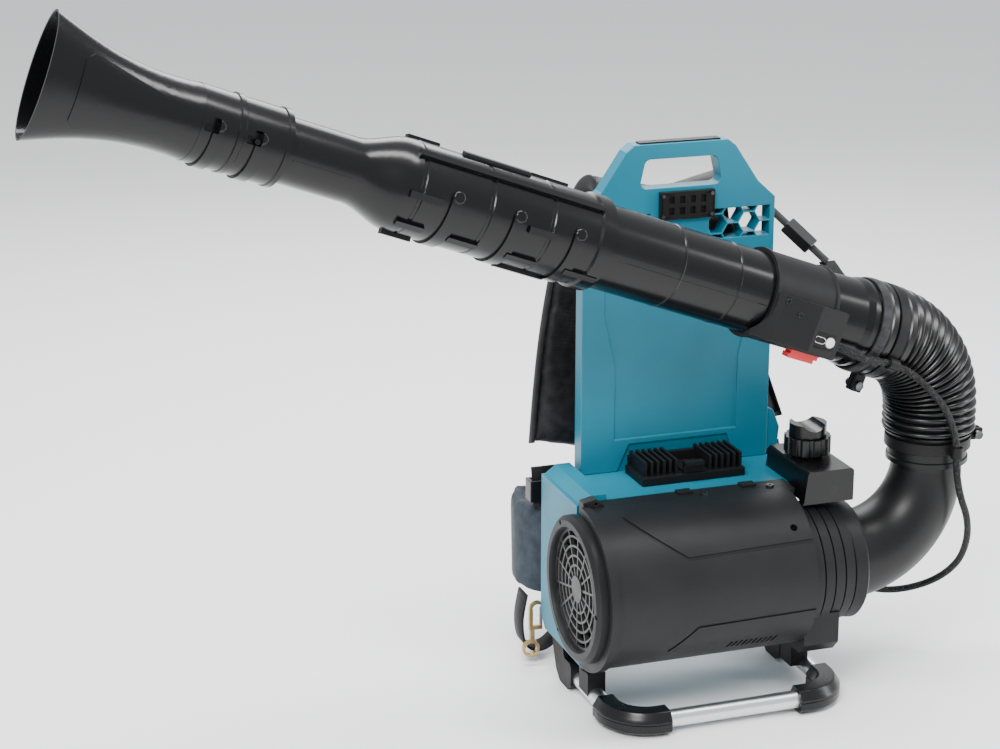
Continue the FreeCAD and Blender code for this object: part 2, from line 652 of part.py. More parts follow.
def clamp_band(radius, low, high, clip_turn, reach):
    """A screw clamp's band with its tab and hole and a loop for the control cable, drawn about Z."""
    middle = (low + high) / 2
    band = ring(radius + 2.2, radius, (0, 0, low), (0, 0, high))
    ears = box(radius, radius + 20, -6, 6, low, high)
    hole = rod(2.6, (radius + 13, -10, middle), (radius + 13, 10, middle))
    core = rod(radius, (0, 0, low - 1), (0, 0, high + 1))
    slit = box(radius + 3, radius + 22, -0.8, 0.8, low - 1, high + 1)
    arm = box(radius + 1, reach, -3, 3, low, high)
    loop = fused([arm, rod(CABLE_R + 2.6, (reach, 0, low), (reach, 0, high))])
    way = rod(CABLE_R + 0.5, (reach, 0, low - 1), (reach, 0, high + 1))
    body = cut_all(fused([band, ears, turned(loop, Z, clip_turn)]), [hole, core, slit])
    return body.cut(turned(way, Z, clip_turn))


def clamp_screw(radius, middle):
    x = radius + 13
    return fused([rod(2.5, (x, -9, middle), (x, 8.5, middle)),
                  rod(4.6, (x, -11.5, middle), (x, -6.1, middle)),
                  rod(4.6, (x, 6.1, middle), (x, 9.5, middle))])


def bent_hose(start, sweep):
    """A stretch of the hose's bend, as its outer tube; start and sweep are degrees from upright."""
    pivot = V(TURN_X - HOSE_BEND_R, 0, HOSE_START_Z)
    foot = V(TURN_X, 0, HOSE_START_Z)
    outer = bend_solid(HOSE_R - 1, foot, Z, pivot, sweep)
    inner = bend_solid(HOSE_R - 9, foot, Z, pivot, sweep)
    return turned(outer.cut(inner), V(0, -1, 0), start, pivot)


LOWER_CLAMP_Z = (115.5, 127.5)
LOWER_CLIP_TURN = -85.0    # degrees round from the clamp's tab to its cable loop
LOWER_CLIP_REACH = 55.0    # the cable's distance from the hose's upright axis in that loop
UPPER_CLIP_TURN = -28.0
UPPER_CLIP_REACH = HOSE_R + 4.7
HOSE_LOW_PART = 24.0       # degrees of the bend held by the lower half of the hose
HOSE_SEAM = 0.1


def hose_lower():
    """The bellows from the lower cuff to a third of its bend."""
    straight = ring(HOSE_R - 1, HOSE_R - 9, (TURN_X, 0, HOSE_LOW_Z), (TURN_X, 0, HOSE_START_Z))
    return swing(fused([straight, bent_hose(0, HOSE_LOW_PART)]))


def hose_upper():
    return swing(bent_hose(HOSE_LOW_PART + HOSE_SEAM, 90 - PIPE_PITCH - HOSE_LOW_PART - 2 * HOSE_SEAM))


# ---------------------------------------------------------------- pieces on the pipe, drawn along Z
def upper_cuff():
    """The hose's plain upper end with two raised rings."""
    return revolve_z([(0.1, 43), (0.1, HOSE_R), (6, HOSE_R), (8, HOSE_R - 2), (22, HOSE_R - 2), (24, HOSE_R),
                      (30, HOSE_R), (32, HOSE_R - 2), (44, HOSE_R - 3), (44, 45.9), (14, 45.9), (14, 43)])


def swivel_pipe():
    """The rear pipe that turns in the hose's cuff."""
    return revolve_z([(14.5, 41), (14.5, 45.85), (46, 45.85), (47, 46.8), (52, 46.8), (60, 44.5),
                      (COLLAR_S[0] - 0.1, PIPE_R + 0.5), (COLLAR_S[0] - 0.1, 39.5), (30, 39.5)])


def main_pipe():
    """The pipe inside the handle's collar; its front end slides in the sleeve."""
    end = SLEEVE_S[0] + 77
    rings = []
    for s in (COLLAR_S[1] + 40, COLLAR_S[1] + 108):
        rings += [(s, PIPE_R), (s + 1, PIPE_R + 0.4), (s + 2, PIPE_R + 0.4), (s + 3, PIPE_R)]
    body = revolve_z([(COLLAR_S[0], 39.5), (COLLAR_S[0], PIPE_R)] + rings +
                     [(end, PIPE_R), (end, 39.5)])
    pin_s = SLEEVE_S[0] + 38.5
    pin = rod(1.8, (PIPE_R - 2, 0, pin_s), (PIPE_R + 1.8, 0, pin_s))
    return fused([body, turned(pin, Z, CHANNEL_TURN)])


def handle_collar():
    """The collar that carries the control pod on its open side and the grip behind."""
    s0, s1 = COLLAR_S
    body = ring(PIPE_R + 3.6, PIPE_R + 0.05, (0, 0, s0), (0, 0, s1))
    beads = [ring(PIPE_R + 5, PIPE_R + 3, (0, 0, s), (0, 0, s + 4)) for s in (s0, s1 - 4)]
    return fused([body] + beads)


POD_X = (20.0, 62.0)       # the control pod's place about the collar: out, down and along
POD_Y = (-39.0, -5.0)
POD_S = (90.0, 184.0)
BUTTON_S = 106.0
BUTTON_Y = -22.0


def pod_shell():
    """The control box on the collar's open side, with wells for its buttons."""
    s0, s1 = POD_S
    outline = [(s0, POD_X[0] + 4), (s0 + 4, POD_X[1] - 4), (s0 + 40, POD_X[1]), (s1 - 14, POD_X[1] - 8),
               (s1, POD_X[0] + 12), (s1, POD_X[0])]
    corners = [V(x, POD_Y[0], s) for s, x in outline]
    body = Part.Face(Part.makePolygon(corners + corners[:1])).extrude(V(0, POD_Y[1] - POD_Y[0] + 16, 0))
    body = soften(body, 3, lambda e: e.BoundBox.YMax < POD_Y[0] + 0.1 and e.BoundBox.XMin > POD_X[0] + 3)
    core = rod(PIPE_R + 3.7, (0, 0, s0 - 10), (0, 0, s1 + 10))
    beads = [rod(PIPE_R + 5.1, (0, 0, s - 0.1), (0, 0, s + 4.1)) for s in (COLLAR_S[0], COLLAR_S[1] - 4)]
    well = rod(5.6, (POD_X[1] - 12, BUTTON_Y, BUTTON_S), (POD_X[1] + 4, BUTTON_Y, BUTTON_S))
    display = box(POD_X[1] - 3.4, POD_X[1] + 4, BUTTON_Y - 8.5, BUTTON_Y + 8.5, BUTTON_S - 8, BUTTON_S + 20)
    slot = box(34, 47, POD_Y[0] - 1, POD_Y[0] + 14, LEVER_PIVOT[2] - 9, LEVER_PIVOT[2] + 36)
    return cut_all(body, [core, well, display, slot] + beads)


def power_button():
    cap = rod(5.2, (POD_X[1] - 9, BUTTON_Y, BUTTON_S), (POD_X[1] - 1.6, BUTTON_Y, BUTTON_S))
    return soften(cap, 0.8, lambda e: e.BoundBox.XMin > POD_X[1] - 1.7)


LEVER_PIVOT = (40.5, -37.0, 106.0)


def speed_lever():
    """The red speed lever; it turns about a pin across the pod's underside."""
    x, y, s = LEVER_PIVOT
    hub = rod(5, (x - 5.4, y, s), (x + 5.4, y, s))
    blade = box(x - 5.4, x + 5.4, y - 8, y + 2, s - 2, s + 32)
    pad = box(x - 5.4, x + 5.4, y - 12, y - 7, s + 2, s + 34)
    bore = rod(2.05, (x - 8, y, s), (x + 8, y, s))
    return fused([hub, blade, pad]).cut(bore)


def lever_pin():
    x, y, s = LEVER_PIVOT
    return rod(2, (x - 6.5, y, s), (x + 6.5, y, s))


GRIP_S = 138.0
GRIP_X = 0.0
GRIP_OUT = 112.0           # the grip ends this far from the pipe's middle


def grip_outline():
    return [(GRIP_S - 22, -38), (GRIP_S - 26, 6 - GRIP_OUT), (GRIP_S - 20, -GRIP_OUT),
            (GRIP_S + 6, -GRIP_OUT), (GRIP_S + 12, -88), (GRIP_S + 8, -62), (GRIP_S + 30, -50),
            (GRIP_S + 30, -38)]


def grip_shell(x0, x1):
    """Half of the pistol grip, with room for the trigger."""
    corners = [V(x0, y, s) for s, y in grip_outline()]
    body = Part.Face(Part.makePolygon(corners + corners[:1])).extrude(V(x1 - x0, 0, 0))
    room = box(GRIP_X - 7.5, GRIP_X + 7.5, -86, -48, GRIP_S - 4, GRIP_S + 26)
    core = rod(PIPE_R + 5.1, (0, 0, GRIP_S - 60), (0, 0, GRIP_S + 60))
    pin = rod(2.05, (GRIP_X - 30, *TRIGGER_PIVOT), (GRIP_X + 30, *TRIGGER_PIVOT))
    return cut_all(body, [room, core, pin])


TRIGGER_PIVOT = (-54.0, GRIP_S + 4.0)


def trigger():
    y, s = TRIGGER_PIVOT
    hub = rod(4, (GRIP_X - 7, y, s), (GRIP_X + 7, y, s))
    blade_points = [(s - 2, y), (s + 6, y + 3), (s + 15, y - 8), (s + 18, y - 26), (s + 12, y - 28),
                    (s + 5, y - 14)]
    corners = [V(GRIP_X - 7, b, a) for a, b in blade_points]
    blade = Part.Face(Part.makePolygon(corners + corners[:1])).extrude(V(14, 0, 0))
    return fused([hub, blade]).cut(rod(2.05, (GRIP_X - 9, y, s), (GRIP_X + 9, y, s)))


def trigger_pin():
    y, s = TRIGGER_PIVOT
    return rod(2, (GRIP_X - 15, y, s), (GRIP_X + 15, y, s))


def j_slot(radius, s, turn, rim_wall):
    """The tool for one bayonet slot: a run along the pipe, then a short run round it."""
    run = box(radius - rim_wall - 2, radius + 4, -3.5, 3.5, s, s + 13)
    hook = box(radius - rim_wall - 2, radius + 4, -3.5, 10, s, s + 7)
    return turned(fused([run, hook]), Z, turn)


def bayonet_track(radius, s, half_width):
    """The raised track of a bayonet pin: it starts in a dome and runs down round the pipe."""
    band = ring(radius + 2.2, radius - 1, (0, 0, s), (0, 0, s + 2 * half_width))
    reach = radius + 10
    corners = [V(0, 0, s - 1), V(reach, reach * math.tan(math.radians(TRACK_TURN)), s - 1),
               V(reach, -reach, s - 1), V(-reach, -reach, s - 1)]
    wedge = Part.Face(Part.makePolygon(corners + corners[:1])).extrude(V(0, 0, 2 * half_width + 2))
    dome = rod(half_width, (radius - 6, 0, s + half_width), (radius + 3.6, 0, s + half_width))
    dome = soften(dome, 2.6, lambda e: e.BoundBox.XMin > radius + 3)
    dome = dome.cut(rod(radius - 1, (0, 0, s - 1), (0, 0, s + 2 * half_width + 1)))
    return fused([band.common(wedge), turned(dome, Z, TRACK_TURN)])


TRACK_TURN = 10.0          # degrees above the pipe's open side where each track starts
SLOT_PITCH = 67.0
SLOT_TURN = 4.0
CHANNEL_TURN = 57.0        # degrees round to the channel that guides the inner pipe's pin
# grip bars on the sleeve: degrees round from the open side, and where each starts and ends
SLEEVE_BARS = (
    (51, 16, 217), (-1, 64, 94), (-1, 188, 222), (-40, 3, 39), (-42, 71, 103), (-43, 135, 166),
    (-41, 193, 222), (-78, 45, 99), (-80, 190, 221), (106, 39, 92), (106, 182, 216), (84, 90, 163),
    (150, 5, 188), (190, 40, 200), (232, 15, 175),
)


def sleeve_pipe():
    """The front pipe: a wide sleeve with three bayonet slots, a taper and a narrow tube."""
    s0, s1 = SLEEVE_S
    wall = SLEEVE_R - 2.4
    outline = [(s0, wall), (s0, SLEEVE_R + 2.4), (s0 + 15, SLEEVE_R + 2.4), (s0 + 17, SLEEVE_R)]
    for s in (s0 + 67, s0 + 134, s1 - 6):
        outline += [(s, SLEEVE_R), (s + 1, SLEEVE_R - 0.9), (s + 4, SLEEVE_R - 0.9), (s + 5, SLEEVE_R)]
    steps = 8
    taper = []
    for i in range(steps + 1):
        share = i / steps
        ease = (1 - math.cos(math.pi * share)) / 2
        taper.append((s1 + share * (FLARE_END_S - s1), SLEEVE_R - ease * (SLEEVE_R - FRONT_TUBE_R)))
    outline += taper[1:]
    outline += [(SOCKET_S[1] - 24, FRONT_TUBE_R), (SOCKET_S[1] - 24, FRONT_TUBE_R - 2.4)]
    outline += [(s - 1, r - 2.4) for s, r in reversed(taper)]
    body = revolve_z(outline)
    bars = []
    for turn, low, high in SLEEVE_BARS:
        bar = box(SLEEVE_R - 1.5, SLEEVE_R + 3.4, -3.4, 3.4, s0 + low, s0 + high)
        bars.append(turned(bar, Z, turn))
    bars += [bayonet_track(SLEEVE_R, s0 + 32 + SLOT_PITCH * i, 6.5) for i in range(3)]
    channel = box(SLEEVE_R - 4, SLEEVE_R - 0.9, -2.2, 2.2, s0 - 1, s0 + 175)
    channel = turned(channel, Z, CHANNEL_TURN)
    pin = rod(2.6, (FRONT_TUBE_R - 1.6, 0, SOCKET_S[0] + 33.5), (SOCKET_R + 1.2, 0, SOCKET_S[0] + 33.5))
    return fused([fused([body] + bars).cut(channel), turned(pin, Z, SLOT_TURN)])


def ellipse_wire(half_tall, half_wide, s):
    if half_tall - half_wide < 0.01:
        return Part.Wire(Part.makeCircle(half_tall, V(0, 0, s), Z, 90, 450))
    ellipse = Part.Ellipse(V(0, half_tall, s), V(-half_wide, 0, s), V(0, 0, s))
    return Part.Wire(ellipse.toShape())


def nozzle_loft(shrink):
    """The flat nozzle's taper, drawn through five sections."""
    s0, s1 = SOCKET_S[1] - 2, MOUTH_S
    sections = []
    for share, tall, wide in ((0, SOCKET_R - 0.1, SOCKET_R - 0.3), (0.22, 34.4, 34), (0.42, 36.4, 31.5),
                              (0.62, 41.6, 29), (0.82, 50, 28.5), (1, MOUTH_TALL / 2, MOUTH_WIDE / 2)):
        sections.append(ellipse_wire(tall - shrink, wide - shrink, s0 + share * (s1 - s0)))
    return Part.makeLoft(sections, True, False)


def nozzle():
    s0, s1 = SOCKET_S
    socket = revolve_z([(s0, 0), (s0, SOCKET_R + 1.2), (s0 + 5, SOCKET_R + 1.2), (s0 + 6, SOCKET_R),
                        (s0 + 46, SOCKET_R), (s0 + 47, SOCKET_R + 1.2), (s0 + 52, SOCKET_R + 1.2),
                        (s0 + 53, SOCKET_R), (s1, SOCKET_R), (s1, 0)])
    plate_points = [(s1 + 26, -15), (s1 + 26, 15), (s1 + 104, 34), (s1 + 112, 28), (s1 + 112, -28),
                    (s1 + 104, -34)]
    corners = [V(10, y, s) for s, y in plate_points]
    panel = Part.Face(Part.makePolygon(corners + corners[:1])).extrude(V(40, 0, 0))
    panel = panel.common(nozzle_loft(-1.2))
    tracks = [bayonet_track(SOCKET_R, s0 + 24 + 41 * i, 5.5) for i in range(2)]
    body = fused([socket, nozzle_loft(0), panel] + tracks)
    bore = rod(FRONT_TUBE_R + GAP, (0, 0, s0 - 1), (0, 0, s1 - 20))
    neck = rod(FRONT_TUBE_R - 2, (0, 0, s1 - 21), (0, 0, s1 + 1))
    slots = [j_slot(SOCKET_R, s0 + 30 + 41 * i, SLOT_TURN, 4) for i in range(2)]
    return cut_all(body, [nozzle_loft(2.2), bore, neck] + slots)


# ---------------------------------------------------------------- harness, as plain soft solids
def back_pad():
    outline = [(PANEL_X - 88, 120), (PANEL_X + 88, 120), (PANEL_X + 88, 330), (PANEL_X + 66, 352),
               (PANEL_X - 66, 352), (PANEL_X - 88, 330)]
    return soften(plate(outline, PANEL_BACK_Y + 0.5, PANEL_BACK_Y + 24, "y"), 8,
                  lambda e: is_line_along(e, Y))


def strip(points, thickness):
    """A bent strap's outline: points along its middle, offset to both sides."""
    left, right = [], []
    for i, (a, b) in enumerate(points):
        before, after = points[max(i - 1, 0)], points[min(i + 1, len(points) - 1)]
        da, db = after[0] - before[0], after[1] - before[1]
        size = math.hypot(da, db)
        left.append((a - db / size * thickness / 2, b + da / size * thickness / 2))
        right.append((a + db / size * thickness / 2, b - da / size * thickness / 2))
    return left + right[::-1]


STRAP_LINE = ((140, 366), (160, 374), (186, 362), (202, 330), (208, 285), (204, 230), (194, 180), (178, 130),
              (160, 84))
STRAP_X = (-90.0, -16.0)
STRAP_LEAN = 13.0           # degrees that each strap leans outwards towards its foot


def shoulder_strap():
    """The left shoulder strap's pad: a thick curved band that bows out behind the panel."""
    band = plate(strip(STRAP_LINE, 16), STRAP_X[0], STRAP_X[1], "x")
    return turned(band, Y, STRAP_LEAN, (STRAP_X[1], 0, 370))


WEB_X = (-152.0, -124.0)


def shoulder_webbing():
    """The strap's adjusting web, down to the belt."""
    return plate(strip([(160, 80), (154, 58), (151, 36.5)], 3), WEB_X[0], WEB_X[1], "x")


def ladder_lock():
    """The adjuster that the web runs through."""
    body = box(WEB_X[0] - 5, WEB_X[1] + 5, 146, 163, 44, 68)
    return body.cut(plate(strip([(166, 102), (154, 58), (148, 14)], 4.4), WEB_X[0] - 1, WEB_X[1] + 1, "x"))


WING_LINE = ((-40, 142), (-85, 143), (-122, 147), (-146, 160), (-154, 182), (-149, 206), (-134, 228))


def belt_wing():
    """The left half of the hip belt's pad, from the casing's back round the wearer's side."""
    return plate(strip(WING_LINE, 14), -66, 36, "z")


def belt_loop():
    """The belt's web that hangs below the pad in a loop, for the snap hook."""
    line = [(-158, -66.3), (-163, -96), (-160, -122), (-148, -133), (-132, -131), (-118, -118)]
    return plate(strip(line, 3), 152, 180, "y")


def belt_tail():
    """The belt's web past the end of the pad, with the buckle's half at its end."""
    return plate(strip([(-133.5, 228.6), (-124, 241), (-112, 252)], 3), -38, 0, "z")


def belt_buckle():
    body = turned(box(-6, 6, 0, 34, -42, 4), Z, -45)
    body = moved(body, -111.6, 252.4)
    return body.cut(moved(turned(box(-8, 8, 9, 18, -36, -2), Z, -45), -111.6, 252.4))


HOOK = (-150.0, 141.0)     # the snap hook's place in plan


def snap_hook():
    """A cast hook on the web's loop, open on its right side where the gate closes it."""
    x, y = HOOK
    eye = ring(10, 6.5, (x - 8, y - 2, -124), (x - 8, y + 2, -124))
    shank = box(x - 9, x - 4, y - 2, y + 2, -116, -100)
    bow = ring(9, 5.6, (x - 1, y - 2, -78), (x - 1, y + 2, -78))
    opening = fused([box(x + 2, x + 12, y - 4, y + 4, -90, -76),
                     box(x - 5.9, x + 12, y - 4, y + 4, -97.9, -78)])
    stem = box(x - 10, x - 6, y - 2, y + 2, -102, -78)
    foot = box(x - 9, x + 5, y - 2, y + 2, -102, -98)
    return fused([eye, shank, bow, stem, foot]).cut(opening)


def hook_gate():
    """The sprung gate that closes the hook."""
    x, y = HOOK
    return box(x + 2.4, x + 5, y - 1.8, y + 1.8, -97.2, -76.6)


# ---------------------------------------------------------------- hose hanger and control cable
HANGER_TOP = (112.0, 133.0, 352.0)
HANGER_JOIN = (160.0, 92.0, 300.0)


def web_between(start, end, width, thickness):
    """A straight flat web from one point to another, its width level across its run."""
    start, end = V(*start), V(*end)
    along = end - start
    across = along.cross(Z).normalize() * (width / 2)
    through = across.cross(along).normalize() * (thickness / 2)
    corners = [start + across + through, start - across + through, start - across - through,
               start + across - through]
    return Part.Face(Part.makePolygon(corners + corners[:1])).extrude(along)


def hanger_upper():
    return web_between(HANGER_TOP, HANGER_JOIN, 20, 2.5)


def hanger_lower():
    end = on_pipe(Part.Vertex(-46.5, 27, 26)).Point
    start = V(*HANGER_JOIN) + V(2, -3, -3)
    return web_between(tuple(start), tuple(end), 20, 2.5)


def hanger_buckle():
    """The side-release buckle on the hanger's web, near the panel."""
    start, along = V(*HANGER_TOP), V(*HANGER_JOIN) - V(*HANGER_TOP)
    a, b = start + along * 0.28, start + along * 0.72
    return web_between(tuple(a), tuple(b), 28, 11).cut(web_between(HANGER_TOP, HANGER_JOIN, 20.6, 3.1))


def cuff_band():
    """The woven band round the hose's cuff."""
    return revolve_z([(32.1, HOSE_R - 1.9), (32.1, HOSE_R), (43, HOSE_R - 0.6), (43, HOSE_R - 2.85)])


def pod_exit():
    return on_pipe(Part.Vertex(44, -24, POD_S[0] - 0.2)).Point


def upper_clip_point(s):
    reach, turn = UPPER_CLIP_REACH, math.radians(UPPER_CLIP_TURN)
    return on_pipe(Part.Vertex(reach * math.cos(turn), reach * math.sin(turn), s)).Point


def lower_clip_point(z):
    reach, turn = LOWER_CLIP_REACH, math.radians(LOWER_CLIP_TURN)
    return V(TURN_X + reach * math.cos(turn), reach * math.sin(turn), z)


# the cable's free stretches, as points chosen by hand about the fan's axis
CABLE_BEND = ((206, -61, 197.5), (229, -61.5, 170))
CABLE_JOIN = (237.4, -58.15, 150.5)
CABLE_TAIL = ((254, -52, 72), (270, -44, 42), (282, -26, 8), (286, -2, -28), (272, 26, -58), (238, 46, -72),
              (204, 52, -66), (166, 54, -52))



def rounded_route(points, label):
    """Straight runs joined by tangent arcs, each as large as its two runs allow."""
    points = [V(*p) for p in points]
    edges, here, radii = [], points[0], []
    for before, at, after in zip(points, points[1:], points[2:]):
        back, ahead = before - at, after - at
        turn = math.pi - back.getAngle(ahead)
        reach = 0.45 * min(back.Length, ahead.Length)
        radii.append(reach / math.tan(turn / 2))
        start = at + back.normalize() * reach
        end = at + ahead.normalize() * reach
        bisector = (back + ahead).normalize()
        radius = radii[-1]
        middle = at + bisector * (radius / math.cos(turn / 2) - radius)
        edges.append(Part.LineSegment(here, start).toShape())
        edges.append(Part.Arc(start, middle, end).toShape())
        here = end
    edges.append(Part.LineSegment(here, points[-1]).toShape())
    print(label, "radii", [round(r, 1) for r in radii])
    return Part.Wire(edges)


def cable(points, label):
    """A round cable along a route."""
    path = rounded_route(points, label)
    start, along = V(*points[0]), V(*points[1]) - V(*points[0])
    solid = swept(path, Part.Wire(Part.makeCircle(CABLE_R, start, along)))
    swept_volume = math.pi * CABLE_R ** 2 * path.Length
    print(label, "volume over section times length", round(solid.Volume / swept_volume, 4))
    return solid


def cable_handle():
    clip = upper_clip_point(23.2)
    start = pod_exit()
    away = on_pipe(Part.Vertex(47, -27, POD_S[0] - 20)).Point
    near = on_pipe(Part.Vertex(51, -28.5, 46)).Point
    return cable([tuple(start), tuple(away), tuple(near), tuple(clip)], "handle cable")


def cable_upper():
    held = [tuple(upper_clip_point(22.2)), tuple(upper_clip_point(-4))]
    return cable(held + list(CABLE_BEND) + [CABLE_JOIN], "upper cable")


def cable_lower():
    start = V(*CABLE_JOIN)
    start += (lower_clip_point(LOWER_CLAMP_Z[1] + 3.5) - start).normalize() * 0.2
    held = [tuple(lower_clip_point(LOWER_CLAMP_Z[1] + 3.5)), tuple(lower_clip_point(105))]
    return cable([tuple(start)] + held + list(CABLE_TAIL), "lower cable")


MIDDLE_X = PANEL_X


# ---------------------------------------------------------------- building
def stand_alone_pieces():
    """Every node's shape about the fan's axis."""
    tube = frame_tube()
    lower_left, upper_left, lower_right, upper_right = corner_sleeves()
    rubber_left, saddle_left = buffer(TUBE_LEFT_X, 26)
    rubber_right, saddle_right = buffer(TUBE_RIGHT_X - 10, 26)
    strap, webbing, wing = shoulder_strap(), shoulder_webbing(), belt_wing()
    loop, tail, buckle = belt_loop(), belt_tail(), belt_buckle()
    lock = ladder_lock()
    cover = front_cover().cut(group(cover_screws() + ring_screws()))
    lower_screw = moved(clamp_screw(CUFF_R + 0.1, sum(LOWER_CLAMP_Z) / 2), TURN_X)
    pieces = {
        "inlet_ring": inlet_ring(),
        "inlet_grille": inlet_grille(),
        "housing_screws": group(ring_screws() + cover_screws() + latch_screws() + [lower_screw]),
        "fan_duct": fan_duct(),
        "motor_stator": stator(),
        "motor_bearings": bearings(),
        "rotor_shaft": rotor_shaft(),
        "rotor_magnets": rotor_magnets(),
        "impeller": impeller(),
        "base_housing": base_housing().cut(cover),
        "front_cover": cover,
        "outlet_collar": outlet_collar(),
        "back_panel": back_panel(),
        "handle_inlay": handle_inlay(),
        "latch_plate": latch_plate(),
        "connector_dock": connector_dock(),
        "dock_clip": dock_clip(),
        "socket_module": socket_module(),
        "plug_body": plug_body(),
        "locking_ring": locking_ring(),
        "controller_board": controller_board(),
        "heat_sink": heat_sink(),
        "frame_tube": tube,
        "corner_sleeves": group([lower_left, upper_left, lower_right, upper_right]),
        "frame_mounts": group([rear_bracket(TUBE_LEFT_X), rear_bracket(TUBE_RIGHT_X), saddle_left,
                               saddle_right]),
        "rubber_buffers": group([rubber_left, rubber_right]),
        "elbow": elbow(),
        "lower_cuff": lower_cuff(),
        "lower_clamp": moved(
            clamp_band(CUFF_R + 0.1, *LOWER_CLAMP_Z, LOWER_CLIP_TURN, LOWER_CLIP_REACH), TURN_X),
        "hose_lower": hose_lower(),
        "hose_upper": hose_upper(),
        "upper_cuff": on_pipe(upper_cuff()),
        "upper_clamp": on_pipe(turned(
            clamp_band(HOSE_R - 1.9, 9, 21, UPPER_CLIP_TURN + 90, UPPER_CLIP_REACH), Z, -90)),
        "upper_clamp_screw": on_pipe(turned(clamp_screw(HOSE_R - 1.9, 15), Z, -90)),
        "swivel_pipe": on_pipe(swivel_pipe()),
        "main_pipe": on_pipe(main_pipe()),
        "handle_collar": on_pipe(handle_collar()),
        "pod_shell": on_pipe(pod_shell()),
        "power_button": on_pipe(power_button()),
        "speed_lever": on_pipe(speed_lever()),
        "grip_shells": behind_pipe(group([grip_shell(GRIP_X - 16, GRIP_X - 0.05),
                                          grip_shell(GRIP_X + 0.05, GRIP_X + 16)])),
        "trigger": behind_pipe(trigger()),
        "control_pins": group([on_pipe(lever_pin()), behind_pipe(trigger_pin())]),
        "sleeve_pipe": on_pipe(sleeve_pipe()),
        "nozzle": on_pipe(nozzle()),
        "cable_handle": cable_handle(),
        "cable_upper": cable_upper(),
        "cable_lower": cable_lower(),
        "cuff_band": on_pipe(cuff_band()),
        "hanger_upper": hanger_upper(),
        "hanger_lower": hanger_lower(),
        "hanger_buckle": hanger_buckle(),
        "snap_hook": snap_hook(),
        "hook_gate": hook_gate(),
        "back_pad": back_pad(),
        "shoulder_straps": group([strap, mirrored_x(strap, MIDDLE_X)]),
        "harness_webbing": group([webbing, mirrored_x(webbing, MIDDLE_X), loop, tail,
                                  mirrored_x(tail, MIDDLE_X)]),
        "belt_buckles": group([buckle, mirrored_x(buckle, MIDDLE_X)]),
        "ladder_locks": group([lock, mirrored_x(lock, MIDDLE_X)]),
        "belt_wings": group([wing, mirrored_x(wing, MIDDLE_X)]),
    }
    return pieces


def footprint_shift(pieces):
    """The move that puts the origin at the middle of the footprint, on the ground."""
    whole = FreeCAD.BoundBox()
    for shape in pieces.values():
        whole.add(shape.optimalBoundingBox())
    return V(-whole.Center.x, -whole.Center.y, -whole.ZMin)


def main():
    pieces = stand_alone_pieces()
    shift = footprint_shift(pieces)
    print("moved by", [round(c, 4) for c in shift])
    for name, shape in pieces.items():
        placed = shape.copy()
        placed.translate(shift)
        if not placed.isValid():
            print("not valid:", name)
        placed.exportStep(f"parts/{name}.step")
        print(f"{name:24s} solids {len(placed.Solids)}  volume {placed.Volume / 1000:9.2f} cm3")


main()
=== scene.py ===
"""Looks for the backpack leaf blower: materials, bellows, cables, webbing and padded harness."""

import math

import bmesh
import bpy
from mathutils import Matrix, Vector


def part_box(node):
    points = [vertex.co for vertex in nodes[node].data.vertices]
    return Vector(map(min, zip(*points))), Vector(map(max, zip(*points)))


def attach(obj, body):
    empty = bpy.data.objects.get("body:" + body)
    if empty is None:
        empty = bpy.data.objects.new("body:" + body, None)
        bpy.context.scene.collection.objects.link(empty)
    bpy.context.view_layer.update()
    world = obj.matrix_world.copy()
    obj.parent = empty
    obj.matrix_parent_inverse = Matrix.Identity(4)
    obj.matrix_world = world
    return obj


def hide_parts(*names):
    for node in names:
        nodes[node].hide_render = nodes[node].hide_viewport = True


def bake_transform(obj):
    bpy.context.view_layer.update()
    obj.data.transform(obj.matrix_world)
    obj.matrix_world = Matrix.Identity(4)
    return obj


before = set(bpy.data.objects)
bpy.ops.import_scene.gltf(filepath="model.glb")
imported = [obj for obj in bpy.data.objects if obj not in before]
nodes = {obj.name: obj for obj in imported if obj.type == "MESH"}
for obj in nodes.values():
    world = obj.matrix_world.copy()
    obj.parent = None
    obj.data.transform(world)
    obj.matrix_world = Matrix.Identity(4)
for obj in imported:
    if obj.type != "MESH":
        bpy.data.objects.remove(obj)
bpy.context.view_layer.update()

# ---------------------------------------------------------------- places
# Places are in millimetres about the fan's axis: +X to the outlet, +Y to the wearer, +Z up.
RING_FRONT_X = -165.0
ring_low, ring_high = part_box("inlet_ring")
AXIS = Vector((
    ring_low[0] - RING_FRONT_X / 1000,
    (ring_low[1] + ring_high[1]) / 2,
    (ring_low[2] + ring_high[2]) / 2,
))

TURN_X = 241.0               # the upright axis of the hose
HOSE_LOW_Z = 134.0
HOSE_START_Z = 159.5
HOSE_BEND_R = 92.0
HOSE_LOW_PART = 24.0         # degrees of the bend held by the lower half
PIPE_PITCH = math.radians(20.8)
PIPE_SWING = math.radians(5.7)
HOSE_R = 49.6                # over the bellows' ridges
HOSE_VALLEY_R = 42.5
RIB_PITCH = 8.3

CABLE_R = 3.8
HANGER_TOP = (112.0, 133.0, 352.0)
HANGER_JOIN = (160.0, 92.0, 300.0)
HANGER_END = (-46.5, 27, 26)  # on the pipe, at its side towards the panel

# ---------------------------------------------------------------- camera
CAMERA_FROM_RING = (-805.7, -2115.6, 924.2)
CAMERA_RIGHT = Vector((0.94552, -0.32557, 0.0))
CAMERA_UP = Vector((0.09519, 0.27644, 0.95630))


def at(x, y, z):
    """A place about the fan's axis, in the row frame in metres."""
    return AXIS + Vector((x, y, z)) / 1000


def swing(point):
    """Turn a place about the hose's upright axis, as the pipe stands at rest."""
    turn = Matrix.Rotation(PIPE_SWING, 3, "Z")
    centre = Vector((TURN_X, 0, 0))
    return centre + turn @ (Vector(point) - centre)


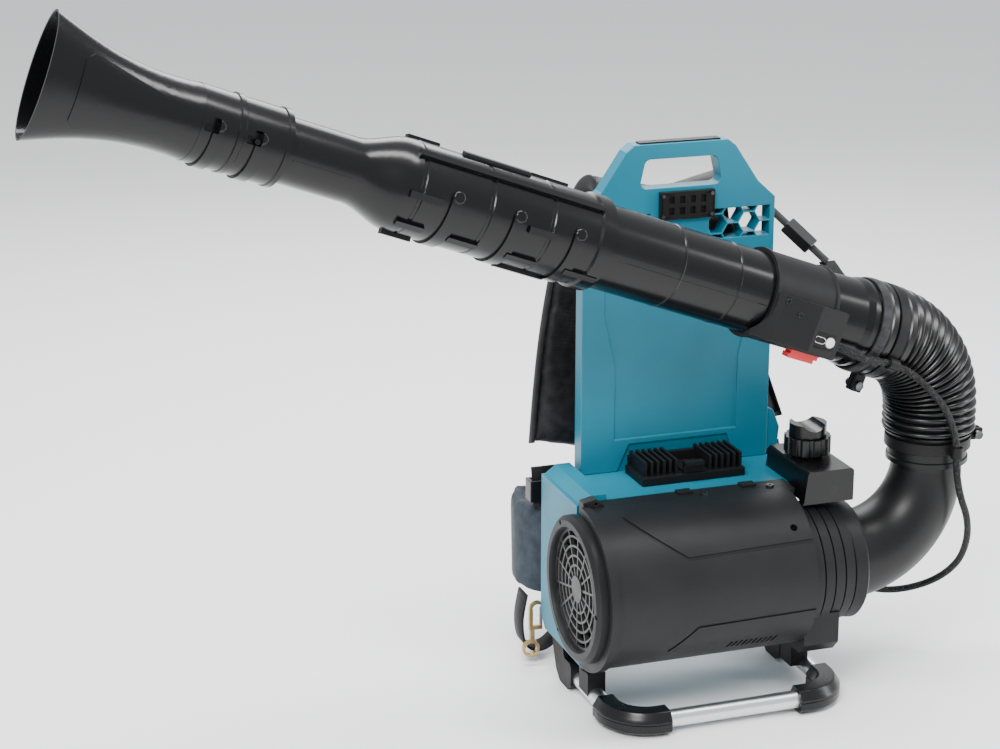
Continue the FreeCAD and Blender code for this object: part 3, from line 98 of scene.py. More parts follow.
def pipe_start():
    turn = math.radians(90) - PIPE_PITCH
    return Vector((
        TURN_X - HOSE_BEND_R * (1 - math.cos(turn)),
        0,
        HOSE_START_Z + HOSE_BEND_R * math.sin(turn),
    ))


def on_pipe(out, up, along):
    """A place on the blower pipe: out to the open side, up, and along from the hose's end."""
    ahead = Vector((-math.cos(PIPE_PITCH), 0, math.sin(PIPE_PITCH)))
    above = Vector((math.sin(PIPE_PITCH), 0, math.cos(PIPE_PITCH)))
    side = Vector((0, -1, 0))
    point = swing(pipe_start() + side * out + above * up + ahead * along)
    return at(*point)


def make_camera():
    data = bpy.data.cameras.new("camera")
    data.lens = 85.0
    data.sensor_width = 36.0
    data.clip_end = 20
    camera = bpy.data.objects.new("camera", data)
    bpy.context.scene.collection.objects.link(camera)
    back = CAMERA_RIGHT.cross(CAMERA_UP)
    place = at(RING_FRONT_X + CAMERA_FROM_RING[0], CAMERA_FROM_RING[1], CAMERA_FROM_RING[2])
    turn = Matrix((CAMERA_RIGHT, CAMERA_UP, back)).transposed()
    camera.matrix_world = Matrix.Translation(place) @ turn.to_4x4()
    bpy.context.scene.camera = camera


# ---------------------------------------------------------------- materials
class Painter:
    """A material under construction: its node tree, its shader and shortcuts for common nodes."""

    def __init__(self, name, colour, roughness, **constants):
        self.material = bpy.data.materials.new(name)
        self.material.use_nodes = True
        self.tree = self.material.node_tree
        self.shader = self.tree.nodes["Principled BSDF"]
        self.set("Base Color", (*colour, 1.0))
        self.set("Roughness", roughness)
        for socket, value in constants.items():
            self.set(socket.replace("_", " "), value)
        self.place = self.add("ShaderNodeTexCoord").outputs["Object"]
        self.normal = None

    def set(self, socket, value):
        self.shader.inputs[socket].default_value = value

    def add(self, kind):
        return self.tree.nodes.new(kind)

    def link(self, source, target):
        self.tree.links.new(source, target)

    def noise(self, scale, detail=3.0, stretch=(1, 1, 1)):
        """A cloudy pattern, stretched along the axes whose factor is small."""
        mapping = self.add("ShaderNodeMapping")
        mapping.inputs["Scale"].default_value = stretch
        self.link(self.place, mapping.inputs["Vector"])
        node = self.add("ShaderNodeTexNoise")
        node.inputs["Scale"].default_value = scale
        node.inputs["Detail"].default_value = detail
        self.link(mapping.outputs["Vector"], node.inputs["Vector"])
        return node.outputs["Fac"]

    def wave(self, scale, turn):
        """Evenly spaced bands, turned by three angles in degrees."""
        mapping = self.add("ShaderNodeMapping")
        mapping.inputs["Rotation"].default_value = [math.radians(a) for a in turn]
        self.link(self.place, mapping.inputs["Vector"])
        node = self.add("ShaderNodeTexWave")
        node.wave_profile = "SIN"
        node.inputs["Scale"].default_value = scale
        self.link(mapping.outputs["Vector"], node.inputs["Vector"])
        return node.outputs["Fac"]

    def maths(self, operation, first, second):
        node = self.add("ShaderNodeMath")
        node.operation = operation
        for socket, value in zip(node.inputs, (first, second)):
            if isinstance(value, (int, float)):
                socket.default_value = value
            else:
                self.link(value, socket)
        return node.outputs["Value"]

    def spread(self, source, low, high, into):
        """Use a 0 to 1 pattern as a range of values of one of the shader's inputs."""
        node = self.add("ShaderNodeMapRange")
        node.inputs["To Min"].default_value = low
        node.inputs["To Max"].default_value = high
        self.link(source, node.inputs["Value"])
        self.link(node.outputs["Result"], self.shader.inputs[into])

    def tint(self, source, dark, light, low=0.3, high=0.7):
        """Colour from a pattern, from dark to light."""
        ramp = self.add("ShaderNodeValToRGB")
        ramp.color_ramp.elements[0].position = low
        ramp.color_ramp.elements[0].color = (*dark, 1)
        ramp.color_ramp.elements[1].position = high
        ramp.color_ramp.elements[1].color = (*light, 1)
        self.link(source, ramp.inputs["Fac"])
        self.link(ramp.outputs["Color"], self.shader.inputs["Base Color"])

    def bump(self, source, strength, depth):
        """Surface relief; later calls add to earlier ones."""
        node = self.add("ShaderNodeBump")
        node.inputs["Strength"].default_value = strength
        node.inputs["Distance"].default_value = depth
        self.link(source, node.inputs["Height"])
        if self.normal is not None:
            self.link(self.normal, node.inputs["Normal"])
        self.normal = node.outputs["Normal"]
        self.link(self.normal, self.shader.inputs["Normal"])


def teal_plastic():
    """Satin moulded housing plastic, very finely grained."""
    paint = Painter("teal_plastic", (0.002, 0.150, 0.225), 0.42, Specular_IOR_Level=0.35)
    paint.tint(paint.noise(9), (0.002, 0.138, 0.210), (0.003, 0.165, 0.242))
    paint.spread(paint.noise(30), 0.36, 0.48, "Roughness")
    paint.bump(paint.noise(1600, 2), 0.12, 0.0002)
    return paint.material


def charcoal_plastic():
    """Dark grey plastic with a spark-eroded grain."""
    paint = Painter("charcoal_plastic", (0.009, 0.0095, 0.010), 0.48, Specular_IOR_Level=0.24)
    paint.tint(paint.noise(14), (0.007, 0.0075, 0.008), (0.011, 0.0115, 0.012))
    paint.spread(paint.noise(40), 0.42, 0.55, "Roughness")
    paint.bump(paint.noise(900, 4), 0.3, 0.0002)
    return paint.material


def pipe_plastic():
    """Glossy blow-moulded black pipe with faint waviness and handling haze."""
    paint = Painter("pipe_plastic", (0.003, 0.003, 0.0035), 0.22, Specular_IOR_Level=0.3)
    paint.spread(paint.noise(12, 4), 0.17, 0.27, "Roughness")
    paint.bump(paint.noise(35, 2), 0.08, 0.0006)
    return paint.material


def matt_black():
    paint = Painter("matt_black", (0.005, 0.005, 0.0055), 0.5, Specular_IOR_Level=0.24)
    paint.spread(paint.noise(60), 0.42, 0.58, "Roughness")
    paint.bump(paint.noise(1300, 3), 0.25, 0.0002)
    return paint.material


def gloss_black():
    paint = Painter("gloss_black", (0.004, 0.004, 0.0045), 0.26, Specular_IOR_Level=0.35)
    paint.spread(paint.noise(45), 0.22, 0.36, "Roughness")
    paint.bump(paint.noise(700, 2), 0.06, 0.0002)
    return paint.material


def elbow_plastic():
    """The elbow's smooth satin black."""
    paint = Painter("elbow_plastic", (0.004, 0.004, 0.0045), 0.34, Specular_IOR_Level=0.3)
    paint.spread(paint.noise(20), 0.33, 0.45, "Roughness")
    paint.bump(paint.noise(1100, 3), 0.15, 0.0002)
    return paint.material


def hose_rubber():
    paint = Painter("hose_rubber", (0.003, 0.003, 0.0035), 0.24, Specular_IOR_Level=0.4)
    paint.spread(paint.noise(50), 0.22, 0.36, "Roughness")
    paint.bump(paint.noise(260, 2), 0.06, 0.0003)
    return paint.material


def soft_rubber():
    paint = Painter("soft_rubber", (0.008, 0.008, 0.008), 0.66, Specular_IOR_Level=0.25)
    paint.spread(paint.noise(80), 0.65, 0.8, "Roughness")
    paint.bump(paint.noise(800, 3), 0.25, 0.0002)
    return paint.material


def drawn_aluminium():
    """Satin tube with fine drawing lines."""
    paint = Painter("drawn_aluminium", (0.78, 0.79, 0.80), 0.34, Metallic=1.0)
    paint.spread(paint.noise(300, 4, (0.04, 0.04, 1)), 0.28, 0.42, "Roughness")
    paint.bump(paint.noise(700, 3, (0.05, 0.05, 1)), 0.10, 0.0001)
    return paint.material


def dark_steel():
    paint = Painter("dark_steel", (0.10, 0.10, 0.11), 0.36, Metallic=1.0)
    paint.tint(paint.noise(120), (0.06, 0.06, 0.065), (0.16, 0.16, 0.17))
    paint.spread(paint.noise(200), 0.3, 0.48, "Roughness")
    return paint.material


def wire_steel():
    """The grille's black-coated wire, brighter in random patches: painted highlights standing in for light
    glinting off the wire.
    """
    paint = Painter("wire_steel", (0.02, 0.02, 0.021), 0.42, Metallic=0.3)
    # painted highlights: the lighter end of this tint is light glinting off the wire, painted into its
    # colour
    paint.tint(paint.noise(90), (0.010, 0.010, 0.010), (0.05, 0.05, 0.052))
    paint.spread(paint.noise(200), 0.34, 0.5, "Roughness")
    paint.bump(paint.noise(600), 0.1, 0.0001)
    return paint.material


def bright_steel():
    paint = Painter("bright_steel", (0.55, 0.55, 0.56), 0.3, Metallic=1.0)
    paint.spread(paint.noise(260), 0.24, 0.4, "Roughness")
    paint.bump(paint.noise(500), 0.06, 0.0001)
    return paint.material


def cast_brass():
    paint = Painter("cast_brass", (0.62, 0.45, 0.20), 0.33, Metallic=1.0)
    paint.tint(paint.noise(70), (0.42, 0.30, 0.13), (0.72, 0.54, 0.26))
    paint.spread(paint.noise(150), 0.26, 0.46, "Roughness")
    paint.bump(paint.noise(420), 0.18, 0.0002)
    return paint.material


def copper_wire():
    paint = Painter("copper_wire", (0.55, 0.24, 0.09), 0.35, Metallic=1.0)
    paint.bump(paint.wave(220, (0, 90, 0)), 0.5, 0.0004)
    paint.spread(paint.noise(90), 0.28, 0.45, "Roughness")
    return paint.material


def circuit_laminate():
    paint = Painter("circuit_laminate", (0.01, 0.10, 0.04), 0.4)
    paint.tint(paint.noise(240, 1), (0.006, 0.08, 0.03), (0.02, 0.16, 0.06), 0.45, 0.55)
    paint.bump(paint.noise(240, 1), 0.2, 0.0002)
    return paint.material


def red_plastic():
    paint = Painter("red_plastic", (0.62, 0.012, 0.012), 0.34)
    paint.spread(paint.noise(60), 0.28, 0.42, "Roughness")
    paint.bump(paint.noise(900, 2), 0.08, 0.0002)
    return paint.material


def white_plastic():
    paint = Painter("white_plastic", (0.72, 0.72, 0.70), 0.4)
    paint.spread(paint.noise(60), 0.34, 0.48, "Roughness")
    paint.bump(paint.noise(900, 2), 0.08, 0.0002)
    return paint.material


def braided_cable():
    """Black braid with a few grey threads."""
    paint = Painter("braided_cable", (0.01, 0.01, 0.01), 0.55, Specular_IOR_Level=0.2)
    one = paint.wave(210, (0, 35, 40))
    other = paint.wave(210, (0, -35, -40))
    braid = paint.maths("MAXIMUM", one, other)
    thread = paint.maths("MULTIPLY", braid, paint.noise(420, 2))
    paint.tint(thread, (0.005, 0.005, 0.0055), (0.07, 0.07, 0.07), 0.42, 0.72)
    paint.bump(braid, 0.6, 0.0005)
    return paint.material


def woven(name, dark, light, threads, sheen, roughness):
    """A plain weave: two sets of threads crossing."""
    paint = Painter(name, dark, roughness, Sheen_Weight=sheen, Sheen_Roughness=0.45, Specular_IOR_Level=0.15)
    across = paint.wave(threads, (0, 0, 0))
    upright = paint.wave(threads, (0, 90, 0))
    through = paint.wave(threads, (0, 0, 90))
    weave = paint.maths("MAXIMUM", across, paint.maths("MAXIMUM", upright, through))
    paint.tint(paint.maths("MULTIPLY", weave, paint.noise(90, 4)), dark, light, 0.25, 0.65)
    paint.bump(weave, 0.35, 0.0004)
    paint.bump(paint.noise(45, 3), 0.2, 0.0010)
    return paint.material


def make_materials():
    return {
        "teal": teal_plastic(),
        "charcoal": charcoal_plastic(),
        "pipe": pipe_plastic(),
        "matt": matt_black(),
        "gloss": gloss_black(),
        "elbow": elbow_plastic(),
        "hose": hose_rubber(),
        "rubber": soft_rubber(),
        "aluminium": drawn_aluminium(),
        "steel": dark_steel(),
        "wire": wire_steel(),
        "bright": bright_steel(),
        "brass": cast_brass(),
        "copper": copper_wire(),
        "board": circuit_laminate(),
        "red": red_plastic(),
        "white": white_plastic(),
        "cable": braided_cable(),
        "webbing": woven("black_webbing", (0.004, 0.004, 0.0045), (0.018, 0.018, 0.02), 260, 0.05,
                         0.65),
        "pad": woven("pad_fabric", (0.006, 0.006, 0.0065), (0.022, 0.023, 0.026), 420, 0.08,
                     0.42),
        "wing": woven("wing_fabric", (0.018, 0.027, 0.036), (0.045, 0.06, 0.075), 340, 0.06, 0.62),
        "band": woven("grey_band", (0.010, 0.010, 0.011), (0.05, 0.05, 0.055), 300, 0.05, 0.6),
    }


NODE_LOOKS = {
    "teal": ["base_housing", "back_panel"],
    "charcoal": ["front_cover", "outlet_collar", "inlet_ring"],
    "pipe": ["swivel_pipe", "main_pipe", "sleeve_pipe", "nozzle"],
    "matt": ["fan_duct", "impeller", "handle_inlay", "dock_clip", "frame_mounts", "handle_collar",
             "pod_shell", "grip_shells", "lower_clamp", "upper_clamp", "latch_plate", "connector_dock"],
    "gloss": ["socket_module", "plug_body", "locking_ring", "corner_sleeves", "hanger_buckle",
              "belt_buckles", "ladder_locks"],
    "elbow": ["elbow", "lower_cuff"],
    "hose": ["upper_cuff"],
    "rubber": ["rubber_buffers"],
    "aluminium": ["frame_tube", "heat_sink"],
    "wire": ["inlet_grille"],
    "steel": ["housing_screws", "rotor_shaft", "rotor_magnets", "motor_bearings",
              "control_pins", "upper_clamp_screw"],
    "bright": ["hook_gate"],
    "brass": ["snap_hook"],
    "copper": ["motor_stator"],
    "board": ["controller_board"],
    "red": ["speed_lever", "trigger"],
    "white": ["power_button"],
}


# How far each moulded part's sharp edges are rounded, in metres.
BEVELS = {
    "base_housing": 0.0016, "back_panel": 0.0016, "front_cover": 0.0008, "outlet_collar": 0.0010,
    "inlet_ring": 0.0008, "socket_module": 0.0012, "plug_body": 0.0010, "locking_ring": 0.0006,
    "pod_shell": 0.0014, "handle_collar": 0.0006, "grip_shells": 0.0020, "latch_plate": 0.0005,
    "connector_dock": 0.0006, "corner_sleeves": 0.0010, "frame_mounts": 0.0010, "lower_clamp": 0.0006,
    "upper_clamp": 0.0006, "hanger_buckle": 0.0012, "snap_hook": 0.0008, "speed_lever": 0.0004,
    "trigger": 0.0010, "handle_inlay": 0.0008, "belt_buckles": 0.0010, "ladder_locks": 0.0008,
    "sleeve_pipe": 0.0006, "nozzle": 0.0006,
}


WELD_DISTANCE = 0.00002
SHARP_ANGLE = math.radians(38)


def round_edges(part, width):
    """Round the sharp edges of a part when it is shown; its own mesh stays as it is."""
    weld = part.modifiers.new("weld", "WELD")
    weld.merge_threshold = WELD_DISTANCE
    rounding = part.modifiers.new("rounding", "BEVEL")
    rounding.width = width
    rounding.segments = 2
    rounding.limit_method = "ANGLE"
    rounding.angle_limit = SHARP_ANGLE
    rounding.harden_normals = False
    rounding.use_clamp_overlap = True
    smooth = part.modifiers.new("shading", "WEIGHTED_NORMAL")
    smooth.keep_sharp = True


def dress_nodes(looks):
    """Give every carried-over part its material and round the moulded ones' sharp edges."""
    for look, names in NODE_LOOKS.items():
        for name in names:
            part = nodes[name]
            part.data.materials.clear()
            part.data.materials.append(looks[look])
            if name in BEVELS:
                round_edges(part, BEVELS[name])


# ---------------------------------------------------------------- mesh making
def new_piece(name, mesh, material):
    piece = bpy.data.objects.new(name, mesh)
    bpy.context.scene.collection.objects.link(piece)
    piece.data.materials.clear()
    piece.data.materials.append(material)
    return piece


def grid_mesh(name, rows, closed_round, caps):
    """A mesh from rows of points: each row is one cross-section."""
    mesh = bpy.data.meshes.new(name)
    points = [tuple(p) for row in rows for p in row]
    count = len(rows[0])
    faces = []
    for i in range(len(rows) - 1):
        for j in range(count if closed_round else count - 1):
            k = (j + 1) % count
            faces.append((i * count + j, i * count + k, (i + 1) * count + k, (i + 1) * count + j))
    if caps:
        faces.append(tuple(reversed(range(count))))
        last = (len(rows) - 1) * count
        faces.append(tuple(last + j for j in range(count)))
    mesh.from_pydata(points, [], faces)
    work = bmesh.new()
    work.from_mesh(mesh)
    bmesh.ops.recalc_face_normals(work, faces=work.faces)
    work.to_mesh(mesh)
    work.free()
    mesh.shade_smooth()
    return mesh


def hose_place(distance):
    """The hose's middle, its outward direction in the bend's plane, and its across direction."""
    straight = HOSE_START_Z - HOSE_LOW_Z
    if distance < straight:
        middle = Vector((TURN_X, 0, HOSE_LOW_Z + distance))
        outward = Vector((1, 0, 0))
    else:
        turn = (distance - straight) / HOSE_BEND_R
        outward = Vector((math.cos(turn), 0, math.sin(turn)))
        middle = Vector((TURN_X - HOSE_BEND_R, 0, HOSE_START_Z)) + outward * HOSE_BEND_R
    return middle, outward, Vector((0, 1, 0))


STEPS_PER_RIB = 10
ROUND_STEPS = 72
RIB_FULLNESS = 0.55          # below 1 the ridges are broader than the valleys
HOSE_WALL = 0.0015


def bellows(name, start, end, looks, node):
    """A stretch of ribbed hose with a thin wall, open at both ends."""
    steps = int((end - start) / RIB_PITCH * STEPS_PER_RIB)
    rows = []
    for i in range(steps + 1):
        distance = start + (end - start) * i / steps
        middle, outward, across = hose_place(distance)
        phase = (distance / RIB_PITCH) % 1.0
        swell = abs(math.sin(math.pi * phase)) ** RIB_FULLNESS
        radius = HOSE_VALLEY_R + (HOSE_R - HOSE_VALLEY_R) * swell
        row = []
        for j in range(ROUND_STEPS):
            angle = math.tau * j / ROUND_STEPS
            offset = outward * (radius * math.cos(angle)) + across * (radius * math.sin(angle))
            row.append(at(*swing(middle + offset)))
        rows.append(row)
    mesh = grid_mesh(name, rows, True, False)
    piece = new_piece(name, mesh, looks["hose"])
    wall = piece.modifiers.new("wall", "SOLIDIFY")
    wall.thickness = HOSE_WALL
    wall.offset = -1
    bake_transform(piece)
    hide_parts(node)


def make_bellows(looks):
    straight = HOSE_START_Z - HOSE_LOW_Z
    middle = straight + HOSE_BEND_R * math.radians(HOSE_LOW_PART)
    end = straight + HOSE_BEND_R * (math.radians(90) - PIPE_PITCH)
    bellows("bellows_lower", 0, middle, looks, "hose_lower")
    bellows("bellows_upper", middle, end, looks, "hose_upper")


# ---------------------------------------------------------------- cable
def cable_piece(name, points, looks, node):
    """One stretch of the control cable, drawn on a smooth curve through its route."""
    curve = bpy.data.curves.new(name + "_line", "CURVE")
    curve.dimensions = "3D"
    spline = curve.splines.new("NURBS")
    spline.points.add(len(points) - 1)
    for point, place in zip(spline.points, points):
        point.co = (*place, 1.0)
    spline.order_u = 3
    spline.use_endpoint_u = True
    spline.resolution_u = 16
    curve.bevel_depth = CABLE_R / 1000
    curve.bevel_resolution = 5
    curve.use_fill_caps = True
    line = bpy.data.objects.new(name + "_line", curve)
    bpy.context.scene.collection.objects.link(line)
    bpy.context.view_layer.update()
    mesh = bpy.data.meshes.new_from_object(line)
    bpy.data.objects.remove(line)
    mesh.shade_smooth()
    piece = new_piece(name, mesh, looks["cable"])
    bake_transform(piece)
    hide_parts(node)


UPPER_CLIP_TURN = math.radians(-28.0)
UPPER_CLIP_REACH = 54.7
LOWER_CLIP_TURN = math.radians(-85.0)
LOWER_CLIP_REACH = 55.0
UPPER_CLIP_S = (22.2, 23.2)  # the cable's two stretches are parted inside the upper clip
UPPER_CLIP_EXIT_S = -4
LOWER_CLIP_Z = (131, 105)
CABLE_FROM_POD = ((44, -24, 89.8), (47, -27, 70), (51, -28.5, 46))
CABLE_BEND = ((206, -61, 197.5), (229, -61.5, 170))
CABLE_JOIN = (237.4, -58.15, 150.5)
CABLE_TAIL = ((254, -52, 72), (270, -44, 42), (282, -26, 8), (286, -2, -28), (272, 26, -58),
              (238, 46, -72), (204, 52, -66), (166, 54, -52))


def upper_clip(along):
    """A place in the upper clip's bore."""
    out = math.cos(UPPER_CLIP_TURN) * UPPER_CLIP_REACH
    up = math.sin(UPPER_CLIP_TURN) * UPPER_CLIP_REACH
    return on_pipe(out, up, along)


def lower_clip(z):
    """A place in the lower clip's bore."""
    return at(TURN_X + LOWER_CLIP_REACH * math.cos(LOWER_CLIP_TURN),
              LOWER_CLIP_REACH * math.sin(LOWER_CLIP_TURN), z)


def make_cables(looks):
    """The control cable in three stretches, parted inside the upper clip and at the bend."""
    handle = [on_pipe(*p) for p in CABLE_FROM_POD] + [upper_clip(UPPER_CLIP_S[1])]
    upper = [upper_clip(UPPER_CLIP_S[0]), upper_clip(UPPER_CLIP_EXIT_S)]
    upper += [at(*p) for p in CABLE_BEND] + [at(*CABLE_JOIN)]
    lower = [at(*CABLE_JOIN)] + [lower_clip(z) for z in LOWER_CLIP_Z] + [at(*p) for p in CABLE_TAIL]
    cable_piece("control_cable_handle", handle, looks, "cable_handle")
    cable_piece("control_cable_upper", upper, looks, "cable_upper")
    cable_piece("control_cable_lower", lower, looks, "cable_lower")


# ---------------------------------------------------------------- webbing
def ribbon_mesh(name, line, across, width, thickness):
    """A flat woven band along a line of points, with rounded selvedges."""
    rows = []
    for i, place in enumerate(line):
        before, after = line[max(i - 1, 0)], line[min(i + 1, len(line) - 1)]
        along = (after - before).normalized()
        side = (across - along * across.dot(along)).normalized()
        lift = side.cross(along).normalized()
        half, thick = width / 2, thickness / 2
        shape = [(-half, 0), (-half + thick, thick), (half - thick, thick), (half, 0),
                 (half - thick, -thick), (-half + thick, -thick)]
        rows.append([place + side * a + lift * b for a, b in shape])
    return grid_mesh(name, rows, True, True)


def smooth_line(points, steps=6):
    """More points between the given ones, on a smooth curve through them."""
    line = []
    for i in range(len(points) - 1):
        a, b = points[max(i - 1, 0)], points[i]
        c, d = points[i + 1], points[min(i + 2, len(points) - 1)]
        for k in range(steps):
            t = k / steps
            line.append(0.5 * (2 * b + (c - a) * t + (2 * a - 5 * b + 4 * c - d) * t * t
                               + (3 * b - a - 3 * c + d) * t ** 3))
    line.append(points[-1])
    return line


HANGER_WIDTH = 0.020
HANGER_THICKNESS = 0.0022
HANGER_SAG = 0.002


def make_hanger(looks):
    """The hose's hanging strap, in two halves; the lower one ends behind the pipe."""
    top, join = at(*HANGER_TOP), at(*HANGER_JOIN)
    end = on_pipe(*HANGER_END)
    across = (join - top).cross(Vector((0, 0, 1))).normalized()
    upper = new_piece("hanger_strap_upper",
                      ribbon_mesh("hanger_strap_upper", smooth_line([top, (top + join) / 2, join], 8),
                                  across, HANGER_WIDTH, HANGER_THICKNESS),
                      looks["webbing"])
    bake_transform(upper)
    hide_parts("hanger_upper")
    middle = (join + end) / 2 - Vector((0, 0, HANGER_SAG))
    across = (end - join).cross(Vector((0, 0, 1))).normalized()
    lower = new_piece("hanger_strap_lower",
                      ribbon_mesh("hanger_strap_lower", smooth_line([join, middle, end], 8),
                                  across, HANGER_WIDTH, HANGER_THICKNESS),
                      looks["webbing"])
    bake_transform(lower)
    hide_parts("hanger_lower")


# ---------------------------------------------------------------- padded harness
def split_solids(node):
    """One new mesh for each closed solid of a CAD node."""
    work = bmesh.new()
    work.from_mesh(nodes[node].data)
    bmesh.ops.remove_doubles(work, verts=work.verts, dist=0.00001)
    left = set(work.verts)
    meshes = []
    while left:
        seed = min(left, key=lambda v: (round(v.co.x, 5), round(v.co.y, 5), round(v.co.z, 5)))
        group, queue = {seed}, [seed]
        while queue:
            for edge in queue.pop().link_edges:
                for vertex in edge.verts:
                    if vertex not in group:
                        group.add(vertex)
                        queue.append(vertex)
        left -= group
        one = bmesh.new()
        copies = {}
        for vertex in sorted(group, key=lambda v: v.index):
            copies[vertex] = one.verts.new(vertex.co)
        for face in work.faces:
            if face.verts[0] in group:
                one.faces.new([copies[v] for v in face.verts])
        mesh = bpy.data.meshes.new(node + "_solid")
        one.to_mesh(mesh)
        one.free()
        meshes.append(mesh)
    work.free()
    meshes.sort(key=lambda m: round(sum(v.co.x for v in m.vertices) / len(m.vertices), 4))
    return meshes


PAD_VOXEL = 0.005
PAD_PRESSURE = 4.0
PAD_SWELL = 0.004            # no point moves further out than this
CLOTH_STEPS = 20


def inflate(piece):
    """Swell a piece with a short cloth simulation and keep the result as its mesh."""
    remesh = piece.modifiers.new("remesh", "REMESH")
    remesh.mode = "VOXEL"
    remesh.voxel_size = PAD_VOXEL
    apply_modifiers(piece)
    rest = [v.co.copy() for v in piece.data.vertices]
    cloth = piece.modifiers.new("cloth", "CLOTH")
    cloth.settings.quality = 5
    cloth.settings.mass = 0.3
    cloth.settings.tension_stiffness = 25
    cloth.settings.compression_stiffness = 25
    cloth.settings.bending_stiffness = 0.6
    cloth.settings.use_pressure = True
    cloth.settings.uniform_pressure_force = PAD_PRESSURE
    cloth.settings.effector_weights.gravity = 0
    for step in range(1, CLOTH_STEPS + 1):
        bpy.context.scene.frame_set(step)
    apply_modifiers(piece)
    bpy.context.scene.frame_set(1)
    for vertex, start in zip(piece.data.vertices, rest):
        move = vertex.co - start
        if move.length > PAD_SWELL:
            vertex.co = start + move.normalized() * PAD_SWELL
    piece.data.shade_smooth()
    smooth = piece.modifiers.new("smooth", "SMOOTH")
    smooth.iterations = 6
    smooth.factor = 0.5
    apply_modifiers(piece)
    rounding = piece.modifiers.new("rounding", "SUBSURF")
    rounding.levels = 1
    rounding.render_levels = 1
    piece.data.shade_smooth()


def apply_modifiers(piece):
    """Replace the piece's mesh by what its modifiers make of it."""
    bpy.context.view_layer.update()
    view = bpy.context.evaluated_depsgraph_get()
    mesh = bpy.data.meshes.new_from_object(piece.evaluated_get(view))
    materials = list(piece.data.materials)
    piece.modifiers.clear()
    piece.data = mesh
    mesh.materials.clear()
    for material in materials:
        mesh.materials.append(material)


PADS = (("back_pad", "pad", 0.7), ("shoulder_straps", "pad", 0.6), ("belt_wings", "wing", 0.6))


def make_pads(looks):
    """Every foam pad of the harness, swollen from its solid."""
    for node, look, fill in PADS:
        for i, mesh in enumerate(split_solids(node)):
            piece = new_piece(f"{node}_pad_{i + 1}", mesh, looks[look])
            inflate(piece)
            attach(piece, "machine")
            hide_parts(node)


MIDDLE_X = -4.0
STRAP_LINE = ((140, 366), (160, 374), (186, 362), (202, 330), (208, 285), (204, 230), (194, 180),
              (178, 130), (160, 84))
STRAP_TOP_Z = 370
STRAP_X = (-90.0, -16.0)
STRAP_LEAN = math.radians(13.0)


def strap_place(x, y, z):
    """A place on the left shoulder strap, leaning outwards towards its foot."""
    centre = Vector((STRAP_X[1], 0, STRAP_TOP_Z))
    turn = Matrix.Rotation(STRAP_LEAN, 3, "Y")
    return centre + turn @ (Vector((x, y, z)) - centre)


def mirrored(point):
    """The same place on the other side of the wearer."""
    return Vector((2 * MIDDLE_X - point[0], point[1], point[2]))


BINDING_HALF_WIDTH = 0.0082
BINDING_HALF_DEPTH = 0.0026
BINDING_STEPS = 14
BINDING_INSET = 1.5


def binding(name, line, looks):
    """A sewn edge binding: a flattened round tape along a line."""
    points = smooth_line(line, 5)
    rows = []
    for i, place in enumerate(points):
        before, after = points[max(i - 1, 0)], points[min(i + 1, len(points) - 1)]
        along = (after - before).normalized()
        side = along.cross(Vector((1, 0, 0))).normalized()
        lift = side.cross(along).normalized()
        angles = [math.tau * k / BINDING_STEPS for k in range(BINDING_STEPS)]
        rows.append([place + side * (BINDING_HALF_WIDTH * math.cos(a))
                     + lift * (BINDING_HALF_DEPTH * math.sin(a)) for a in angles])
    piece = new_piece(name, grid_mesh(name, rows, True, True), looks["webbing"])
    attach(piece, "machine")


def make_strap_edges(looks):
    """Binding tape down both edges of each shoulder strap."""
    for side, flip in (("left", False), ("right", True)):
        for edge, x in (("outer", STRAP_X[0] + BINDING_INSET), ("inner", STRAP_X[1] - BINDING_INSET)):
            line = []
            for y, z in STRAP_LINE:
                point = strap_place(x, y, z)
                line.append(at(*(mirrored(point) if flip else point)))
            binding(f"strap_binding_{side}_{edge}", line, looks)


def band_points(points, across_low, across_high, plane):
    """Points along the middle of a web drawn in a plane, about the fan's axis."""
    middle = (across_low + across_high) / 2
    if plane == "x":
        return [Vector((middle, a, b)) for a, b in points]
    if plane == "y":
        return [Vector((a, middle, b)) for a, b in points]
    return [Vector((a, b, middle)) for a, b in points]


WEB_THICKNESS = 0.0028
# name, line in its plane, span across that plane, the plane's axis, whether both sides have one
WEBS = (
    ("adjusting_web", ((160, 80), (154, 58), (151, 36.5)), -152, -124, "x", True),
    ("belt_loop", ((-158, -66.3), (-163, -96), (-160, -122), (-148, -133), (-132, -131), (-118, -118)),
     152, 180, "y", False),
    ("belt_tail", ((-133.5, 228.6), (-124, 241), (-112, 252)), -38, 0, "z", True),
)


def make_harness_webs(looks):
    """The adjusting webs, the belt's loop and its free ends."""
    axes = {"x": Vector((1, 0, 0)), "y": Vector((0, 1, 0)), "z": Vector((0, 0, 1))}
    for name, points, low, high, plane, both in WEBS:
        middle = band_points(points, low, high, plane)
        for side, flip in (("left", False), ("right", True)):
            if flip and not both:
                continue
            line = smooth_line([at(*(mirrored(p) if flip else p)) for p in middle], 6)
            mesh = ribbon_mesh(f"{name}_{side}", line, axes[plane], (high - low) / 1000, WEB_THICKNESS)
            piece = new_piece(f"{name}_{side}", mesh, looks["webbing"])
            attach(piece, "machine")
            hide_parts("harness_webbing")


# (along the pipe, radius) over the band's outside
CUFF_BAND = ((32.2, 48.2), (32.4, 49.6), (33.4, 50.2), (38, 50.0), (42, 49.4), (42.9, 48.6), (43, 47.3))
CUFF_BAND_WALL = 0.001


